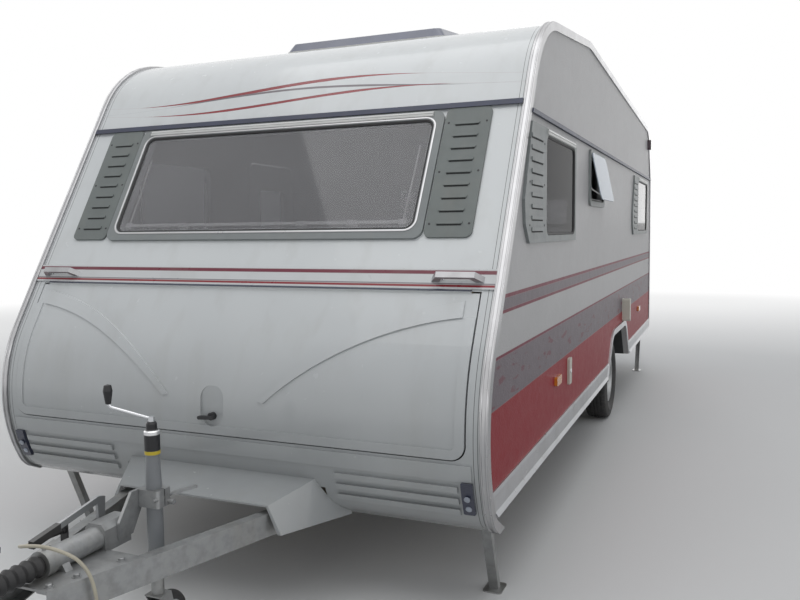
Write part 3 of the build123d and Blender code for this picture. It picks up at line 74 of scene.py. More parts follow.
# Side view of the body: station, height, corner radius
PROFILE = (
    (0.360, 0.250, 0.000),
    (0.095, 0.415, 0.150),
    (-0.096, 0.791, 0.700),
    (0.916, 2.545, 0.600),
    (2.230, 2.706, 0.900),
    (6.038, 2.605, 0.300),
    (6.348, 2.075, 0.500),
    (6.460, 0.250, 0.000),
)


def along(station):
    """Y of a station."""
    return BODY_FRONT + station


# Shader nodes


class Wire:
    """A socket that takes part in arithmetic: each operation adds one Math node."""

    def __init__(self, nodes, socket):
        self.nodes = nodes
        self.socket = socket

    def pick(self, name):
        """Another output of the same node."""
        return Wire(self.nodes, self.socket.node.outputs[name])

    def __add__(self, other):
        return self.nodes.maths("ADD", self, other)

    def __sub__(self, other):
        return self.nodes.maths("SUBTRACT", self, other)

    def __rsub__(self, other):
        return self.nodes.maths("SUBTRACT", other, self)

    def __mul__(self, other):
        return self.nodes.maths("MULTIPLY", self, other)

    def __lt__(self, other):
        return self.nodes.maths("LESS_THAN", self, other)

    def __gt__(self, other):
        return self.nodes.maths("GREATER_THAN", self, other)

    def __abs__(self):
        return self.nodes.maths("ABSOLUTE", self)

    __radd__ = __add__
    __rmul__ = __mul__


EVEN = (1.0, 1.0, 1.0)
WHITE = (1.0, 1.0, 1.0, 1.0)


class Nodes:
    """The nodes of a material or of the world, round one main shader."""

    def __init__(self, tree, shader, output):
        self.tree = tree
        self.shader = tree.nodes[shader]
        self.output = tree.nodes[output]

    def node(self, kind, settings=None, inputs=None):
        """Any node: its settings, then the values or wires of its sockets."""
        made = self.tree.nodes.new(kind)
        for setting, value in (settings or {}).items():
            setattr(made, setting, value)
        for key, value in (inputs or {}).items():
            self.plug(made.inputs[key], value)
        return Wire(self, made.outputs[0])

    def plug(self, socket, value):
        """Gives a socket a wire or a value."""
        if isinstance(value, Wire):
            self.tree.links.new(value.socket, socket)
        else:
            socket.default_value = value

    def link(self, name, value):
        """Gives a socket of the main shader a wire or a value."""
        self.plug(self.shader.inputs[name], value)

    def maths(self, operation, first, second=0.0):
        """One Math node."""
        return self.node("ShaderNodeMath", {"operation": operation}, {0: first, 1: second})

    def seen(self):
        """1 for rays of the camera, of reflections and through glass."""
        rays = self.node("ShaderNodeLightPath")
        indirect = self.maths("MAXIMUM", rays.pick("Is Glossy Ray"),
                              rays.pick("Is Transmission Ray"))
        return self.maths("MAXIMUM", rays.pick("Is Camera Ray"), indirect)

    def cover(self, factor, shader):
        """Mixes another shader over the main one by a factor."""
        both = self.node("ShaderNodeMixShader", {},
                         {0: factor, 1: Wire(self, self.shader.outputs[0]), 2: shader})
        self.plug(self.output.inputs["Surface"], both)


class Finish(Nodes):
    """A material in the making: its colour, its roughness and its relief over the object."""

    def __init__(self, name, colour, roughness, constants=None):
        self.material = bpy.data.materials.new(name)
        self.material.use_nodes = True
        self.material.diffuse_color = (*colour, 1.0)
        super().__init__(self.material.node_tree, "Principled BSDF", "Material Output")
        self.colour = (*colour, 1.0)
        self.rough = roughness
        self.height = None
        for socket, value in (constants or {}).items():
            self.link(socket, value)
        self.place = self.node("ShaderNodeTexCoord").pick("Object")
        axes = self.node("ShaderNodeSeparateXYZ", {}, {0: self.place})
        self.x, self.y, self.z = (axes.pick(axis) for axis in "XYZ")

    def noise(self, scale, stretch=EVEN, detail=3.0):
        """Noise from 0 to 1 with a number of waves a metre along each axis."""
        where = self.node("ShaderNodeMapping", {"vector_type": "POINT"},
                          {"Vector": self.place, "Scale": stretch})
        return self.node("ShaderNodeTexNoise", {},
                         {"Vector": where, "Scale": scale, "Detail": detail})

    def ramp(self, value, low, high):
        """0 below low, 1 above high and straight between."""
        return self.node("ShaderNodeMapRange", {"clamp": True},
                         {0: value, 1: low, 2: high, 3: 0.0, 4: 1.0})

    def band(self, value, low, high, soft=0.0015):
        """1 between low and high, with soft edges."""
        below = self.ramp(value, low - soft, low + soft)
        return below * (1.0 - self.ramp(value, high - soft, high + soft))

    def paint(self, mask, colour):
        """Lays a colour over the finish where a mask is 1."""
        self.colour = self.node("ShaderNodeMix", {"data_type": "RGBA"},
                                {0: mask, 6: self.colour, 7: (*colour, 1.0)}).pick(2)

    def stripes(self, table, where=None):
        """Paints level bands, each given by its bottom, its top and its colour."""
        for low, high, colour in table:
            mask = self.band(self.z, low, high)
            self.paint(mask if where is None else mask * where, colour)

    def mottle(self, scale, amount, shade):
        """Cloudy patches of another shade."""
        self.paint(self.ramp(self.noise(scale), 0.42, 0.72) * amount, shade)

    def grime(self, amount, shade):
        """Dirt: runs that hang down and a film that thickens towards the ground."""
        runs = self.ramp(self.noise(9.0, (1.0, 1.0, 0.09), 4.0), 0.50, 0.78)
        film = 1.0 - self.ramp(self.z, 0.2, 1.1)
        self.paint(runs * amount + film * (self.noise(14.0) * amount), shade)

    def flange_shade(self):
        """Painted shade: dark lines along the flat flange beside the corner trims, at its inner
        edge and in its groove.
        """
        for low, high in ((1.1885, 1.1910), (1.2060, 1.2085)):
            line = self.band(abs(self.x), low, high, 0.0006) * (self.y < 3.0)
            self.paint(line * 0.85, (0.030, 0.030, 0.032))

    def bumpy(self, height, depth):
        """Adds relief; height runs from 0 to 1 and depth is in metres."""
        relief = height * depth
        self.height = relief if self.height is None else self.height + relief

    def done(self, polish=0.0):
        """Joins colour, roughness with its variation, and relief to the surface shader."""
        self.link("Base Color", self.colour)
        spread = self.noise(22.0, detail=4.0) - 0.5
        self.link("Roughness", self.maths("MAXIMUM", self.rough + spread * (0.16 - polish), 0.02))
        if self.height is not None:
            self.link("Normal", self.node("ShaderNodeBump", {}, {
                "Height": self.height, "Distance": 1.0, "Strength": 1.0}))
        return self.material


# Colours, linear
RED = (0.240, 0.006, 0.014)
MAUVE = (0.160, 0.135, 0.150)
WINE = (0.150, 0.010, 0.030)
NAVY = (0.020, 0.026, 0.055)
DUST = (0.300, 0.280, 0.235)
SOOT = (0.120, 0.115, 0.105)
JET = (0.012, 0.012, 0.014)


def gelcoat():
    """Glossy white glass-fibre: faint waviness, a coat, road dirt, and painted shade, partly dirt,
    that greys the nose towards the ground.
    """
    finish = Finish("white gelcoat", (0.66, 0.68, 0.68), 0.24, {"Coat Weight": 0.35})
    finish.mottle(1.6, 0.35, (0.58, 0.60, 0.61))
    # Painted shade, partly dirt: dark grey laid over the nose, thicker towards the ground
    low = 1.0 - finish.ramp(finish.z, 0.30, 1.42)
    finish.paint(low * (0.68 + 0.25 * finish.noise(3.0)), (0.185, 0.195, 0.200))
    finish.grime(0.14, DUST)
    # Painted shade in the grooves of the flange beside the corner trims
    finish.flange_shade()
    finish.bumpy(finish.noise(5.0, detail=1.0), 0.0018)
    finish.bumpy(finish.noise(420.0, detail=1.0), 0.00006)
    return finish


def cap_gelcoat():
    """The gelcoat with three flowing stripes, each a sine over the width that thins at its ends."""
    finish = gelcoat()
    finish.material.name = "striped cap gelcoat"
    fade = 0.55
    # Middle height, rise, waves' phase, half thickness, left and right end, colour
    for middle, rise, phase, half, left, right, colour in (
            (2.296, 0.036, 0.70, 0.0085, -0.98, 0.72, RED),
            (2.262, 0.030, 1.50, 0.0055, -0.80, 0.98, MAUVE),
            (2.228, 0.030, 0.10, 0.0070, -0.92, 0.88, RED)):
        wave = finish.maths("SINE", finish.x * 2.6 + phase) * rise + middle
        reach = finish.ramp(finish.x, left, left + fade) * (
            1.0 - finish.ramp(finish.x, right - fade, right))
        finish.paint(finish.ramp(reach * half - abs(finish.z - wave), -0.0006, 0.0006), colour)
    return finish.done()


def roof_sheet():
    """White roof sheet, dusty, with painted shade lines along the flange beside its trims."""
    finish = Finish("roof sheet", (0.62, 0.63, 0.63), 0.36)
    finish.mottle(1.8, 0.6, (0.53, 0.54, 0.54))
    finish.grime(0.10, DUST)
    # Painted shade in the grooves of the flange beside the corner trims
    finish.flange_shade()
    finish.bumpy(finish.noise(160.0), 0.0007)
    return finish.done()


def wall_sheet(name, colour):
    """Hammered painted sheet with the striped bands round the body at their heights.

    Relief and bands lie on the outer faces alone: the sides, and the two slopes of the rear.
    """
    finish = Finish(name, colour, 0.42, {"Specular IOR Level": 0.16})
    finish.mottle(2.2, 0.35, tuple(0.88 * part for part in colour))
    outer = abs(finish.x) > SIDE_FACE - 0.0015
    for number in (REAR_RUN - 1, REAR_RUN):
        (y, up, *_), (far_y, far_up, *_) = PROFILE[number:number + 2]
        length = math.hypot(far_y - y, far_up - up)
        out = (up - far_up) / length, (far_y - y) / length
        level = finish.y * out[0] + finish.z * out[1]
        outer = finish.maths("MAXIMUM", outer,
                             level > along(y) * out[0] + up * out[1] - 0.012)
    finish.stripes(((1.236, 1.250, WINE), (1.250, 1.296, MAUVE), (1.296, 1.312, WINE),
                    (0.870, 1.062, MAUVE), (1.062, 1.074, WINE), (0.400, 0.870, RED)), outer)
    # Faint red dashes in the lower grey band
    dashes = finish.ramp(finish.noise(16.0, (1.0, 0.35, 1.6), 2.0), 0.60, 0.66)
    finish.paint(dashes * finish.band(finish.z, 0.880, 1.050) * outer * 0.55, WINE)
    finish.grime(0.04, DUST)
    cells = finish.node("ShaderNodeTexVoronoi", {"feature": "SMOOTH_F1"},
                        {"Vector": finish.place, "Scale": 130.0})
    finish.bumpy(cells * outer, 0.0011)
    return finish.done()


def stripe_sheet():
    """White moulding: a wine stripe along its top, thin red and mauve ones below, and the socket of
    the lid's hinge at its foot painted dark navy, a painted shade of the hinge gap."""
    finish = Finish("striped moulding", (0.62, 0.63, 0.63), 0.30)
    finish.stripes(((1.391, 1.406, WINE), (1.341, 1.350, RED), (1.352, 1.356, MAUVE)))
    # Painted shade: dark navy below the moulding, where the hinge gap over the lid lies in shade
    finish.paint(1.0 - finish.ramp(finish.z, 1.3325, 1.3335), NAVY)
    finish.grime(0.15, DUST)
    return finish.done()


def lens_cover():
    """Lamp lenses by place: navy at the nose, amber on the sides, red and amber at the rear,
    white at the awning lamp and dark outline lamps high at the rear corners."""
    finish = Finish("lamp lenses", (0.30, 0.012, 0.010), 0.14, {"Coat Weight": 0.5})
    amber = (0.62, 0.20, 0.02)
    rear, high = finish.y > 3.5, finish.z > 2.0
    finish.stripes(((0.740, 0.810, amber),), finish.y < 3.5)
    finish.stripes(((0.835, 0.900, amber), (0.645, 0.690, (0.62, 0.63, 0.64))), rear)
    finish.paint(finish.y < -2.4, (0.030, 0.034, 0.060))
    finish.paint(high, (0.70, 0.70, 0.66))
    finish.paint(high * (finish.y > 3.0), (0.040, 0.020, 0.030))
    finish.bumpy(finish.maths("SINE", finish.z * 900.0) * 0.5 + 0.5, 0.0006)
    return finish.done()


def tube_enamel():
    """Jockey tube: grey body, yellow band, black collar and chrome ring by height."""
    finish = Finish("jockey tube", (0.215, 0.225, 0.235), 0.36)
    finish.mottle(9.0, 0.4, (0.150, 0.155, 0.160))
    finish.stripes(((0.752, 0.766, (0.55, 0.42, 0.03)),))
    finish.paint(finish.z > 0.766, JET)
    ring = finish.band(finish.z, 0.826, 0.842)
    finish.paint(ring, (0.75, 0.75, 0.76))
    finish.link("Metallic", ring)
    return finish.done()


def crank_enamel():
    """Crank: a chromed arm under a black knob."""
    finish = Finish("crank", (0.70, 0.71, 0.73), 0.18)
    knob = finish.ramp(finish.z, 0.951, 0.953)
    finish.paint(knob, JET)
    finish.link("Metallic", 1.0 - knob)
    finish.rough = 0.18 + knob * 0.3
    return finish.done()


def lever_metal():
    """Levers: black at the coupling and on the brake's grip, zinc on the brake's arm."""
    finish = Finish("levers", (0.018, 0.018, 0.020), 0.40)
    arm = (finish.x < -0.06) * (finish.y > along(-0.786))
    finish.paint(arm, (0.36, 0.37, 0.38))
    finish.grime(0.10, DUST)
    finish.link("Metallic", arm * 0.85)
    finish.bumpy(finish.noise(300.0), 0.00015)
    return finish.done()


def smoked():
    """Panes by place: lighter and hazy at the nose and the rear, a painted reflection of the sky;
    pale blue where the kitchen pane stands open, a painted reflection of the sky it faces; and dark
    smoked plastic on the sides and in the door."""
    # Nose and rear panes: the light haze is a painted reflection of the sky
    finish = Finish("smoked acrylic", (0.58, 0.58, 0.60), 0.04,
                    {"Transmission Weight": 0.86, "IOR": 1.40})
    finish.mottle(1.8, 0.6, (0.66, 0.66, 0.68))
    finish.done(0.13)
    # Colour, roughness, clearness, index of refraction
    dark, sky_reflection_tint = (finish.node("ShaderNodeBsdfPrincipled", {}, {
        "Base Color": (*colour, 1.0), "Roughness": roughness, "Transmission Weight": clear,
        "IOR": index, "Specular IOR Level": 0.15}) for colour, roughness, clear, index in (
            ((0.070, 0.070, 0.075), 0.08, 0.75, 1.07), ((0.46, 0.51, 0.57), 0.25, 0.10, 1.20)))
    # The open kitchen pane's pale blue shader is a painted reflection of the sky
    kitchen = finish.band(finish.y, -0.38, 0.22) * (finish.x > 1.0)
    finish.cover(abs(finish.x) > 1.0,
                 finish.node("ShaderNodeMixShader", {}, {0: kitchen, 1: dark, 2: sky_reflection_tint}))
    return finish.material


# Plain finishes: name, colour, roughness, metallic, cloud scale, cloud shade, grime, relief
# scale, relief depth, relief stretch where it isn't even
PLAIN = (
    ("aluminium", (0.46, 0.46, 0.47), 0.30, 1.0, 7.0, 0.84, 0.10, 60.0, 0.00002, (1, 0.04, 0.04)),
    ("skirt_metal", (0.55, 0.56, 0.58), 0.30, 1.0, 6.0, 0.80, 0.20, 260.0, 0.0001, (1, 0.03, 1)),
    ("chrome", (0.72, 0.73, 0.75), 0.12, 1.0, 12.0, 0.90, 0.05, 90.0, 0.00002),
    ("galvanised", (0.36, 0.37, 0.38), 0.46, 0.85, 26.0, 0.62, 0.35, 90.0, 0.0003),
    ("wheel_paint", (0.56, 0.57, 0.58), 0.32, 0.3, 11.0, 0.78, 0.30, 200.0, 0.00005),
    ("tyre_rubber", (0.020, 0.020, 0.021), 0.72, 0.0, 30.0, 1.90, 0.30, 420.0, 0.0003),
    ("black_rubber", (0.014, 0.014, 0.015), 0.60, 0.0, 24.0, 1.60, 0.10, 300.0, 0.0002),
    ("black_plastic", (0.018, 0.018, 0.020), 0.40, 0.0, 18.0, 1.50, 0.08, 520.0, 0.00012),
    ("navy_plastic", NAVY, 0.42, 0.0, 6.0, 1.70, 0.10, 420.0, 0.0001),
    ("frame_grey", (0.215, 0.232, 0.232), 0.46, 0.0, 8.0, 0.80, 0.14, 520.0, 0.00015),
    ("louvre_grey", (0.150, 0.168, 0.162), 0.50, 0.0, 9.0, 0.80, 0.16, 520.0, 0.00015),
    ("handle_grey", (0.400, 0.400, 0.410), 0.34, 0.7, 14.0, 0.70, 0.12, 520.0, 0.0001),
    ("cream_plastic", (0.56, 0.54, 0.47), 0.42, 0.0, 9.0, 0.84, 0.16, 420.0, 0.00012),
    ("white_plastic", (0.64, 0.64, 0.62), 0.36, 0.0, 9.0, 0.86, 0.14, 420.0, 0.0001),
    ("dome_acrylic", (0.17, 0.18, 0.23), 0.16, 0.0, 5.0, 1.30, 0.12, 60.0, 0.00004),
    ("floor_board", (0.110, 0.080, 0.052), 0.66, 0.0, 5.0, 0.60, 0.20, 120.0, 0.0004, (1, 0.1, 1)),
    ("furniture_ply", (0.330, 0.215, 0.115), 0.42, 0.0, 11.0, 0.70, 0.04, 160.0, 0.0002,
     (1, 0.08, 1)),
    ("cable_sheath", (0.50, 0.46, 0.36), 0.46, 0.0, 30.0, 0.80, 0.20, 300.0, 0.00008),
    # Flat black of the painted shadow strips under the louvre ribs
    ("rib_shadow_black", (0.010, 0.010, 0.011), 0.80, 0.0, 30.0, 1.40, 0.05, 300.0, 0.0001),
    ("reflector", (0.35, 0.38, 0.44), 0.10, 0.0, 20.0, 0.70, 0.05, 700.0, 0.0004),
    ("plate_white", (0.62, 0.62, 0.60), 0.30, 0.0, 12.0, 0.90, 0.12, 300.0, 0.00005),
)


def plain(name, colour, roughness, metallic, cloud, shade, grime, scale, depth, stretch=EVEN):
    """A finish of one colour with clouds, dirt and fine relief."""
    finish = Finish(name.replace("_", " "), colour, roughness, {"Metallic": metallic})
    finish.mottle(cloud, 0.6, tuple(min(1.0, shade * part) for part in colour))
    finish.grime(grime, DUST if max(colour) > 0.1 else SOOT)
    finish.bumpy(finish.noise(scale, stretch), depth)
    return finish.done()


def fabric():
    """Upholstery cloth: a plain weave of crossed sine ribs and a scatter of two threads."""
    finish = Finish("seat cloth", (0.16, 0.15, 0.19), 0.88, {"Sheen Weight": 0.3})
    finish.paint(finish.ramp(finish.noise(60.0), 0.50, 0.56), (0.26, 0.20, 0.20))
    warp, weft = (finish.maths("SINE", axis * 2400.0) for axis in (finish.y, finish.z))
    finish.bumpy(warp * weft * 0.5 + 0.5, 0.0004)
    return finish.done()


FINISHES = {}

# Finish of each CAD node
NODE_FINISH = {
    "gelcoat": ("front_lower_panel", "front_upper_panel", "locker_lid", "drawbar_apron",
                "rear_bumper"),
    "cap": ("front_cap",),
    "wall": ("side_wall_left", "side_wall_right", "rear_wall"),
    "door": ("entry_door",),
    "stripe": ("stripe_moulding",),
    "roof_sheet": ("roof_panel",),
    "aluminium": ("edge_trims", "door_hinges"),
    "skirt_metal": ("side_skirts",),
    "galvanised": ("chassis_rails", "cross_members", "drawbar_beams", "overrun_housing",
                   "axle_tube", "suspension_arms", "jockey_inner_tube", "jockey_fork",
                   "steady_brackets", "steady_leg_front_left", "steady_leg_front_right",
                   "steady_leg_rear_left", "steady_leg_rear_right", "jockey_clamp"),
    "wheel_paint": ("rim_left", "rim_right", "jockey_rim"),
    "tyre_rubber": ("tyre_left", "tyre_right", "jockey_tyre"),
    "black_rubber": ("drawbar_gaiter",),
    "levers": ("drawbar_levers",),
    "black_plastic": ("coupling_head", "lid_latch", "cable_mounts", "wheel_boxes",
                      "cable_plug"),
    "navy_plastic": ("body_rails",),
    "frame_grey": ("window_frames", "door_fittings"),
    "louvre_grey": ("louvre_panels",),
    "handle_grey": ("grab_handles",),
    "cream_plastic": ("wall_vents",),
    "white_plastic": ("roof_light_frames",),
    "dome_acrylic": ("roof_light_domes",),
    "smoked": ("window_panes", "door_pane"),
    "lens": ("lamps",),
    "tube": ("jockey_outer_tube",),
    "crank": ("jockey_crank",),
    "floor_board": ("floor_panel",),
    "furniture_ply": ("furniture", "locker_partition"),
    "fabric": ("cushions",),
    "cable_sheath": ("drawbar_cable",),
}


def mix_finishes():
    """Makes every finish and lays it on the CAD nodes."""
    FINISHES.update({row[0]: plain(*row) for row in PLAIN})
    FINISHES.update(gelcoat=gelcoat().done(), cap=cap_gelcoat(), stripe=stripe_sheet(),
                    roof_sheet=roof_sheet(), lens=lens_cover(),
                    wall=wall_sheet("wall sheet", (0.450, 0.445, 0.445)),
                    door=wall_sheet("door sheet", (0.470, 0.465, 0.465)),
                    tube=tube_enamel(), smoked=smoked(), fabric=fabric(), crank=crank_enamel(),
                    levers=lever_metal())
    for finish, names in NODE_FINISH.items():
        for name in names:
            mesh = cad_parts[name].data
            mesh.materials.clear()
            mesh.materials.append(FINISHES[finish])


# Shapes: each is points, an array (n, 3), and faces, a list of arrays of point numbers


def circle(sides):
    """Equal steps of angle round a full turn."""
    return np.linspace(0.0, 2 * math.pi, sides, endpoint=False)


def grid(points, wrap_rows=False, wrap_columns=False):
    """The faces between neighbouring points of an array (rows, columns, 3)."""
    rows, columns = points.shape[:2]
    numbers = np.arange(rows * columns).reshape(rows, columns)
    if wrap_rows:
        numbers = np.concatenate((numbers, numbers[:1]))
    if wrap_columns:
        numbers = np.concatenate((numbers, numbers[:, :1]), axis=1)
    faces = np.stack((numbers[:-1, :-1], numbers[:-1, 1:], numbers[1:, 1:], numbers[1:, :-1]), -1)
    return points.reshape(-1, 3), [faces.reshape(-1, 4)]


def joined(shapes):
    """Several shapes as one."""
    counts = np.cumsum([0] + [len(points) for points, faces in shapes])
    return (np.concatenate([points for points, faces in shapes]),
            [part + count for (points, faces), count in zip(shapes, counts) for part in faces])


def copies(shape, places):
    """A shape repeated at an array of shifts (n, 3)."""
    points, faces = shape
    places = np.asarray(places, float)
    count = len(points) * np.arange(len(places))
    moved = (points[None] + places[:, None]).reshape(-1, 3)
    return moved, [(part[None] + count[:, None, None]).reshape(-1, part.shape[1]) for part in faces]


def lay(base, across, up, out):
    """Points of a local frame (origin, u, v, n) from their coordinates along its axes."""
    origin, u, v, n = base
    return (np.asarray(origin) + np.multiply.outer(across, u) + np.multiply.outer(up, v)
            + np.multiply.outer(out, n))


def scattered(base, make, across, up, out):
    """Copies of the shape that make gives for a local frame, at places of that frame."""
    return copies(make((np.zeros(3), *base[1:])), lay(base, across, up, out))


def skin_base(run, height, across=0.0):
    """Local frame on a straight run of the body's outline: across, along the run, outwards."""
    low, high = np.array(PROFILE[run][:2]), np.array(PROFILE[run + 1][:2])
    ahead, rise = (high - low) / np.linalg.norm(high - low)
    station = low[0] + (height - low[1]) * (high[0] - low[0]) / (high[1] - low[1])
    return (np.array((across, along(station), height)), np.array((1.0, 0.0, 0.0)),
            np.array((0.0, ahead, rise)), np.array((0.0, -rise, ahead)))


def roof_base(run, station, across=0.0):
    """The same on a run of the roof, at a station."""
    low, high = PROFILE[run], PROFILE[run + 1]
    height = low[1] + (station - low[0]) * (high[1] - low[1]) / (high[0] - low[0])
    return skin_base(run, height, across)


def side_base(side, station, height, out=0.0):
    """Local frame on a side wall: rearwards on the left, forwards on the right; up; outwards."""
    return (np.array((side * (SIDE_FACE + out), along(station), height)),
            np.array((0.0, side, 0.0)), np.array((0.0, 0.0, 1.0)), np.array((side, 0.0, 0.0)))


def rounded(half_width, half_height, radius, steps=7):
    """A rounded rectangle, anticlockwise, with the outward normal at each point."""
    quarter = math.pi / 2 * np.arange(4)[:, None]
    angle = (np.linspace(0.0, math.pi / 2, steps) + quarter).ravel()
    normal = np.stack((np.cos(angle), np.sin(angle)), -1)
    diagonal = quarter[:, 0] + math.pi / 4
    corner = np.sign(np.stack((np.cos(diagonal), np.sin(diagonal)), -1))
    middle = np.repeat(corner, steps, axis=0) * (half_width - radius, half_height - radius)
    return middle + radius * normal, normal


def ring(base, half_width, half_height, radius, section):
    """A closed section of (outset, height) carried round a rounded rectangle."""
    line, normal = rounded(half_width, half_height, radius)
    outset, height = np.array(section).T
    flat = line[:, None] + normal[:, None] * outset[None, :, None]
    return grid(lay(base, flat[..., 0], flat[..., 1], height), True, True)


def plate(base, half_width, half_height, radius, low, high, edge=0.001, shift=(0.0, 0.0)):
    """A rounded plate with an eased upper edge: rings of the outline, closed by fans."""
    line, normal = rounded(half_width, half_height, radius, 5)
    line = line + shift
    hub = np.broadcast_to(shift, line.shape)
    flat = np.stack((hub, line, line, line - normal * edge, hub))
    levels = np.array((low, low, high - edge, high, high))[:, None]
    return grid(lay(base, flat[..., 0], flat[..., 1], levels), False, True)


def bar(base, section, start, end):
    """A closed section of (up, out) carried straight across from start to end."""
    section = np.array(section)
    hub = np.broadcast_to(section.mean(axis=0), section.shape)
    sections = np.stack((hub, section, section, hub))
    across = np.array((start, start, end, end))[:, None]
    return grid(lay(base, across, sections[..., 0], sections[..., 1]), False, True)


def turned(base, profile, sides=24):
    """A profile of (radius, height) turned about the frame's outward axis."""
    radius, height = np.array(profile).T
    angle = circle(sides)
    return grid(lay(base, np.outer(radius, np.cos(angle)), np.outer(radius, np.sin(angle)),
                    height[:, None]), False, True)


def tube(path, radius, sides=10):
    """A round bar along a path of points, square to it at each, closed at both ends."""
    off_path = (0.31, 0.17, 0.94)       # A direction that no bar here runs along
    path = np.asarray(path, float)[:, None]
    tangent = np.gradient(path[:, 0], axis=0)[:, None]
    side = np.cross(tangent, off_path)
    side /= np.linalg.norm(side, axis=-1, keepdims=True)
    other = np.cross(tangent / np.linalg.norm(tangent, axis=-1, keepdims=True), side)
    angle = circle(sides)[None, :, None]
    skin = path + radius * (side * np.cos(angle) + other * np.sin(angle))
    ends = np.broadcast_to(path, skin.shape)
    return grid(np.concatenate((ends[:1], skin, ends[-1:])), False, True)


def outline(grow, steps=9):
    """The body's side view as points (y, z), grown outwards, with its corners rounded by arcs.

    An arc touches both sides at its radius times the tangent of half the turn from the corner.
    """
    corners = np.array([(along(station), height) for station, height, radius in PROFILE])
    heading = np.diff(corners, axis=0)
    heading /= np.linalg.norm(heading, axis=1)[:, None]
    points, normals = [corners[:1]], [np.array([(-heading[0, 1], heading[0, 0])])]
    for corner, row, before, after in zip(corners[1:], PROFILE[1:], heading, heading[1:]):
        turn = math.acos(float(np.clip(before @ after, -1, 1)))
        radius = row[2]
        inward = np.array((before[1], -before[0]))
        swing = np.linspace(0.0, turn, steps)[:, None]
        outward = before * np.sin(swing) - inward * np.cos(swing)
        points.append(corner - before * radius * math.tan(turn / 2) + (inward + outward) * radius)
        normals.append(outward)
    points.append(corners[-1:])
    normals.append(np.array([(-heading[-1, 1], heading[-1, 0])]))
    return np.concatenate(points) + grow * np.concatenate(normals)


WELD = 2e-6                     # Points nearer than this are one


def put(name, shape, finish, body="caravan", sharp=35.0):
    """Makes a piece of a shape: welded, faces outwards, its finish and body set."""
    points, faces = shape
    mesh = bpy.data.meshes.new(name)
    mesh.from_pydata(points.tolist(), [], [face for part in faces for face in part.tolist()])
    work = bmesh.new()
    work.from_mesh(mesh)
    bmesh.ops.remove_doubles(work, verts=work.verts, dist=WELD)
    bmesh.ops.recalc_face_normals(work, faces=work.faces)
    work.to_mesh(mesh)
    work.free()
    mesh.polygons.foreach_set("use_smooth", np.ones(len(mesh.polygons), bool))
    mesh.set_sharp_from_angle(angle=math.radians(sharp))
    mesh.materials.append(FINISHES[finish])
    piece = bpy.data.objects.new(name, mesh)
    bpy.context.scene.collection.objects.link(piece)
    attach(piece, body)
    return piece


# Windows: name, body, local frame on the skin, half width, half height, width of the border
FRONT_GLASS = (0.814, 0.2485 / 0.8662)      # Half the width, and half the rise over the slope
WINDOWS = (
    ("front", "caravan", skin_base(FRONT_RUN, FRONT_GLASS_HEIGHT), *FRONT_GLASS, 0.046),
    ("rear", "caravan", skin_base(REAR_RUN, 1.655), 0.600, 0.265, 0.046),
    *((f"{room}_{name}", "caravan", side_base(side, station, height), half, 0.2375, 0.032)
      for room, station, height, half in (("lounge", 1.346, LOUNGE_HEIGHT, 0.372),
                                          ("bedroom", 5.4615, BEDROOM_HEIGHT, 0.4175))
      for name, side in SIDES),
    ("door", "door", side_base(-1, 2.480, 1.640), 0.190, 0.260, 0.022),
)


class CaravanSizes(bpy.types.PropertyGroup):
    """Sizes of the small pieces."""

    cable_diameter: bpy.props.FloatProperty(
        name="Cable diameter", description="Outer diameter of the lighting cable", default=0.012,
        unit="LENGTH", min=0.006, max=0.02)
    seal_width: bpy.props.FloatProperty(
        name="Seal width", description="Width of the rubber lip on the window panes",
        default=0.011, unit="LENGTH", min=0.004, max=0.02)
    groove_depth: bpy.props.FloatProperty(
        name="Tread depth", description="Depth of the grooves in the road tyres", default=0.007,
        unit="LENGTH", min=0.001, max=0.012)
    bead_radius: bpy.props.FloatProperty(
        name="Bead radius", description="Radius of the ridges on the corner trims",
        default=0.0045, unit="LENGTH", min=0.002, max=0.008)
    cushion_fill: bpy.props.FloatProperty(
        name="Cushion fill", description="How full the seat cushions are", default=0.7,
        subtype="FACTOR", min=0.0, max=1.0)


class CaravanColours(bpy.types.PropertyGroup):
    """Colours of the studio."""

    floor: bpy.props.FloatVectorProperty(
        name="Floor", description="Colour of the studio floor", default=(0.72, 0.72, 0.71),
        subtype="COLOR", size=3, min=0.0, max=1.0)


# Camera, found from the photograph's straight edges: place, turns in degrees, focal length
CAMERA_PLACE = (2.063, -5.412, 1.570)
CAMERA_TURNS = (22.784, -5.061, -0.592)
CAMERA_LENS, CAMERA_SENSOR = 35.256, 36.0
# Lamps: name, place, aim, size, power
LAMPS = (
    ("sky_lamp", (0.6, -2.5, 8.5), (0.0, 0.2, 1.0), 9.0, 300.0),
    ("front_lamp", (2.6, -11.0, 5.5), (0.0, -2.0, 1.2), 5.0, 80.0),
    ("left_lamp", (10.0, -3.0, 4.5), (1.0, 0.5, 1.2), 6.0, 70.0),
    ("right_lamp", (-10.0, 1.0, 4.5), (-1.0, 0.5, 1.2), 6.0, 150.0),
    ("rear_lamp", (0.0, 12.0, 4.5), (0.0, 3.0, 1.2), 6.0, 150.0),
)
FLOOR_HALF = 45.0
FLOOR_FADES = (5.5, 15.0)       # Distances between which the seen floor turns white


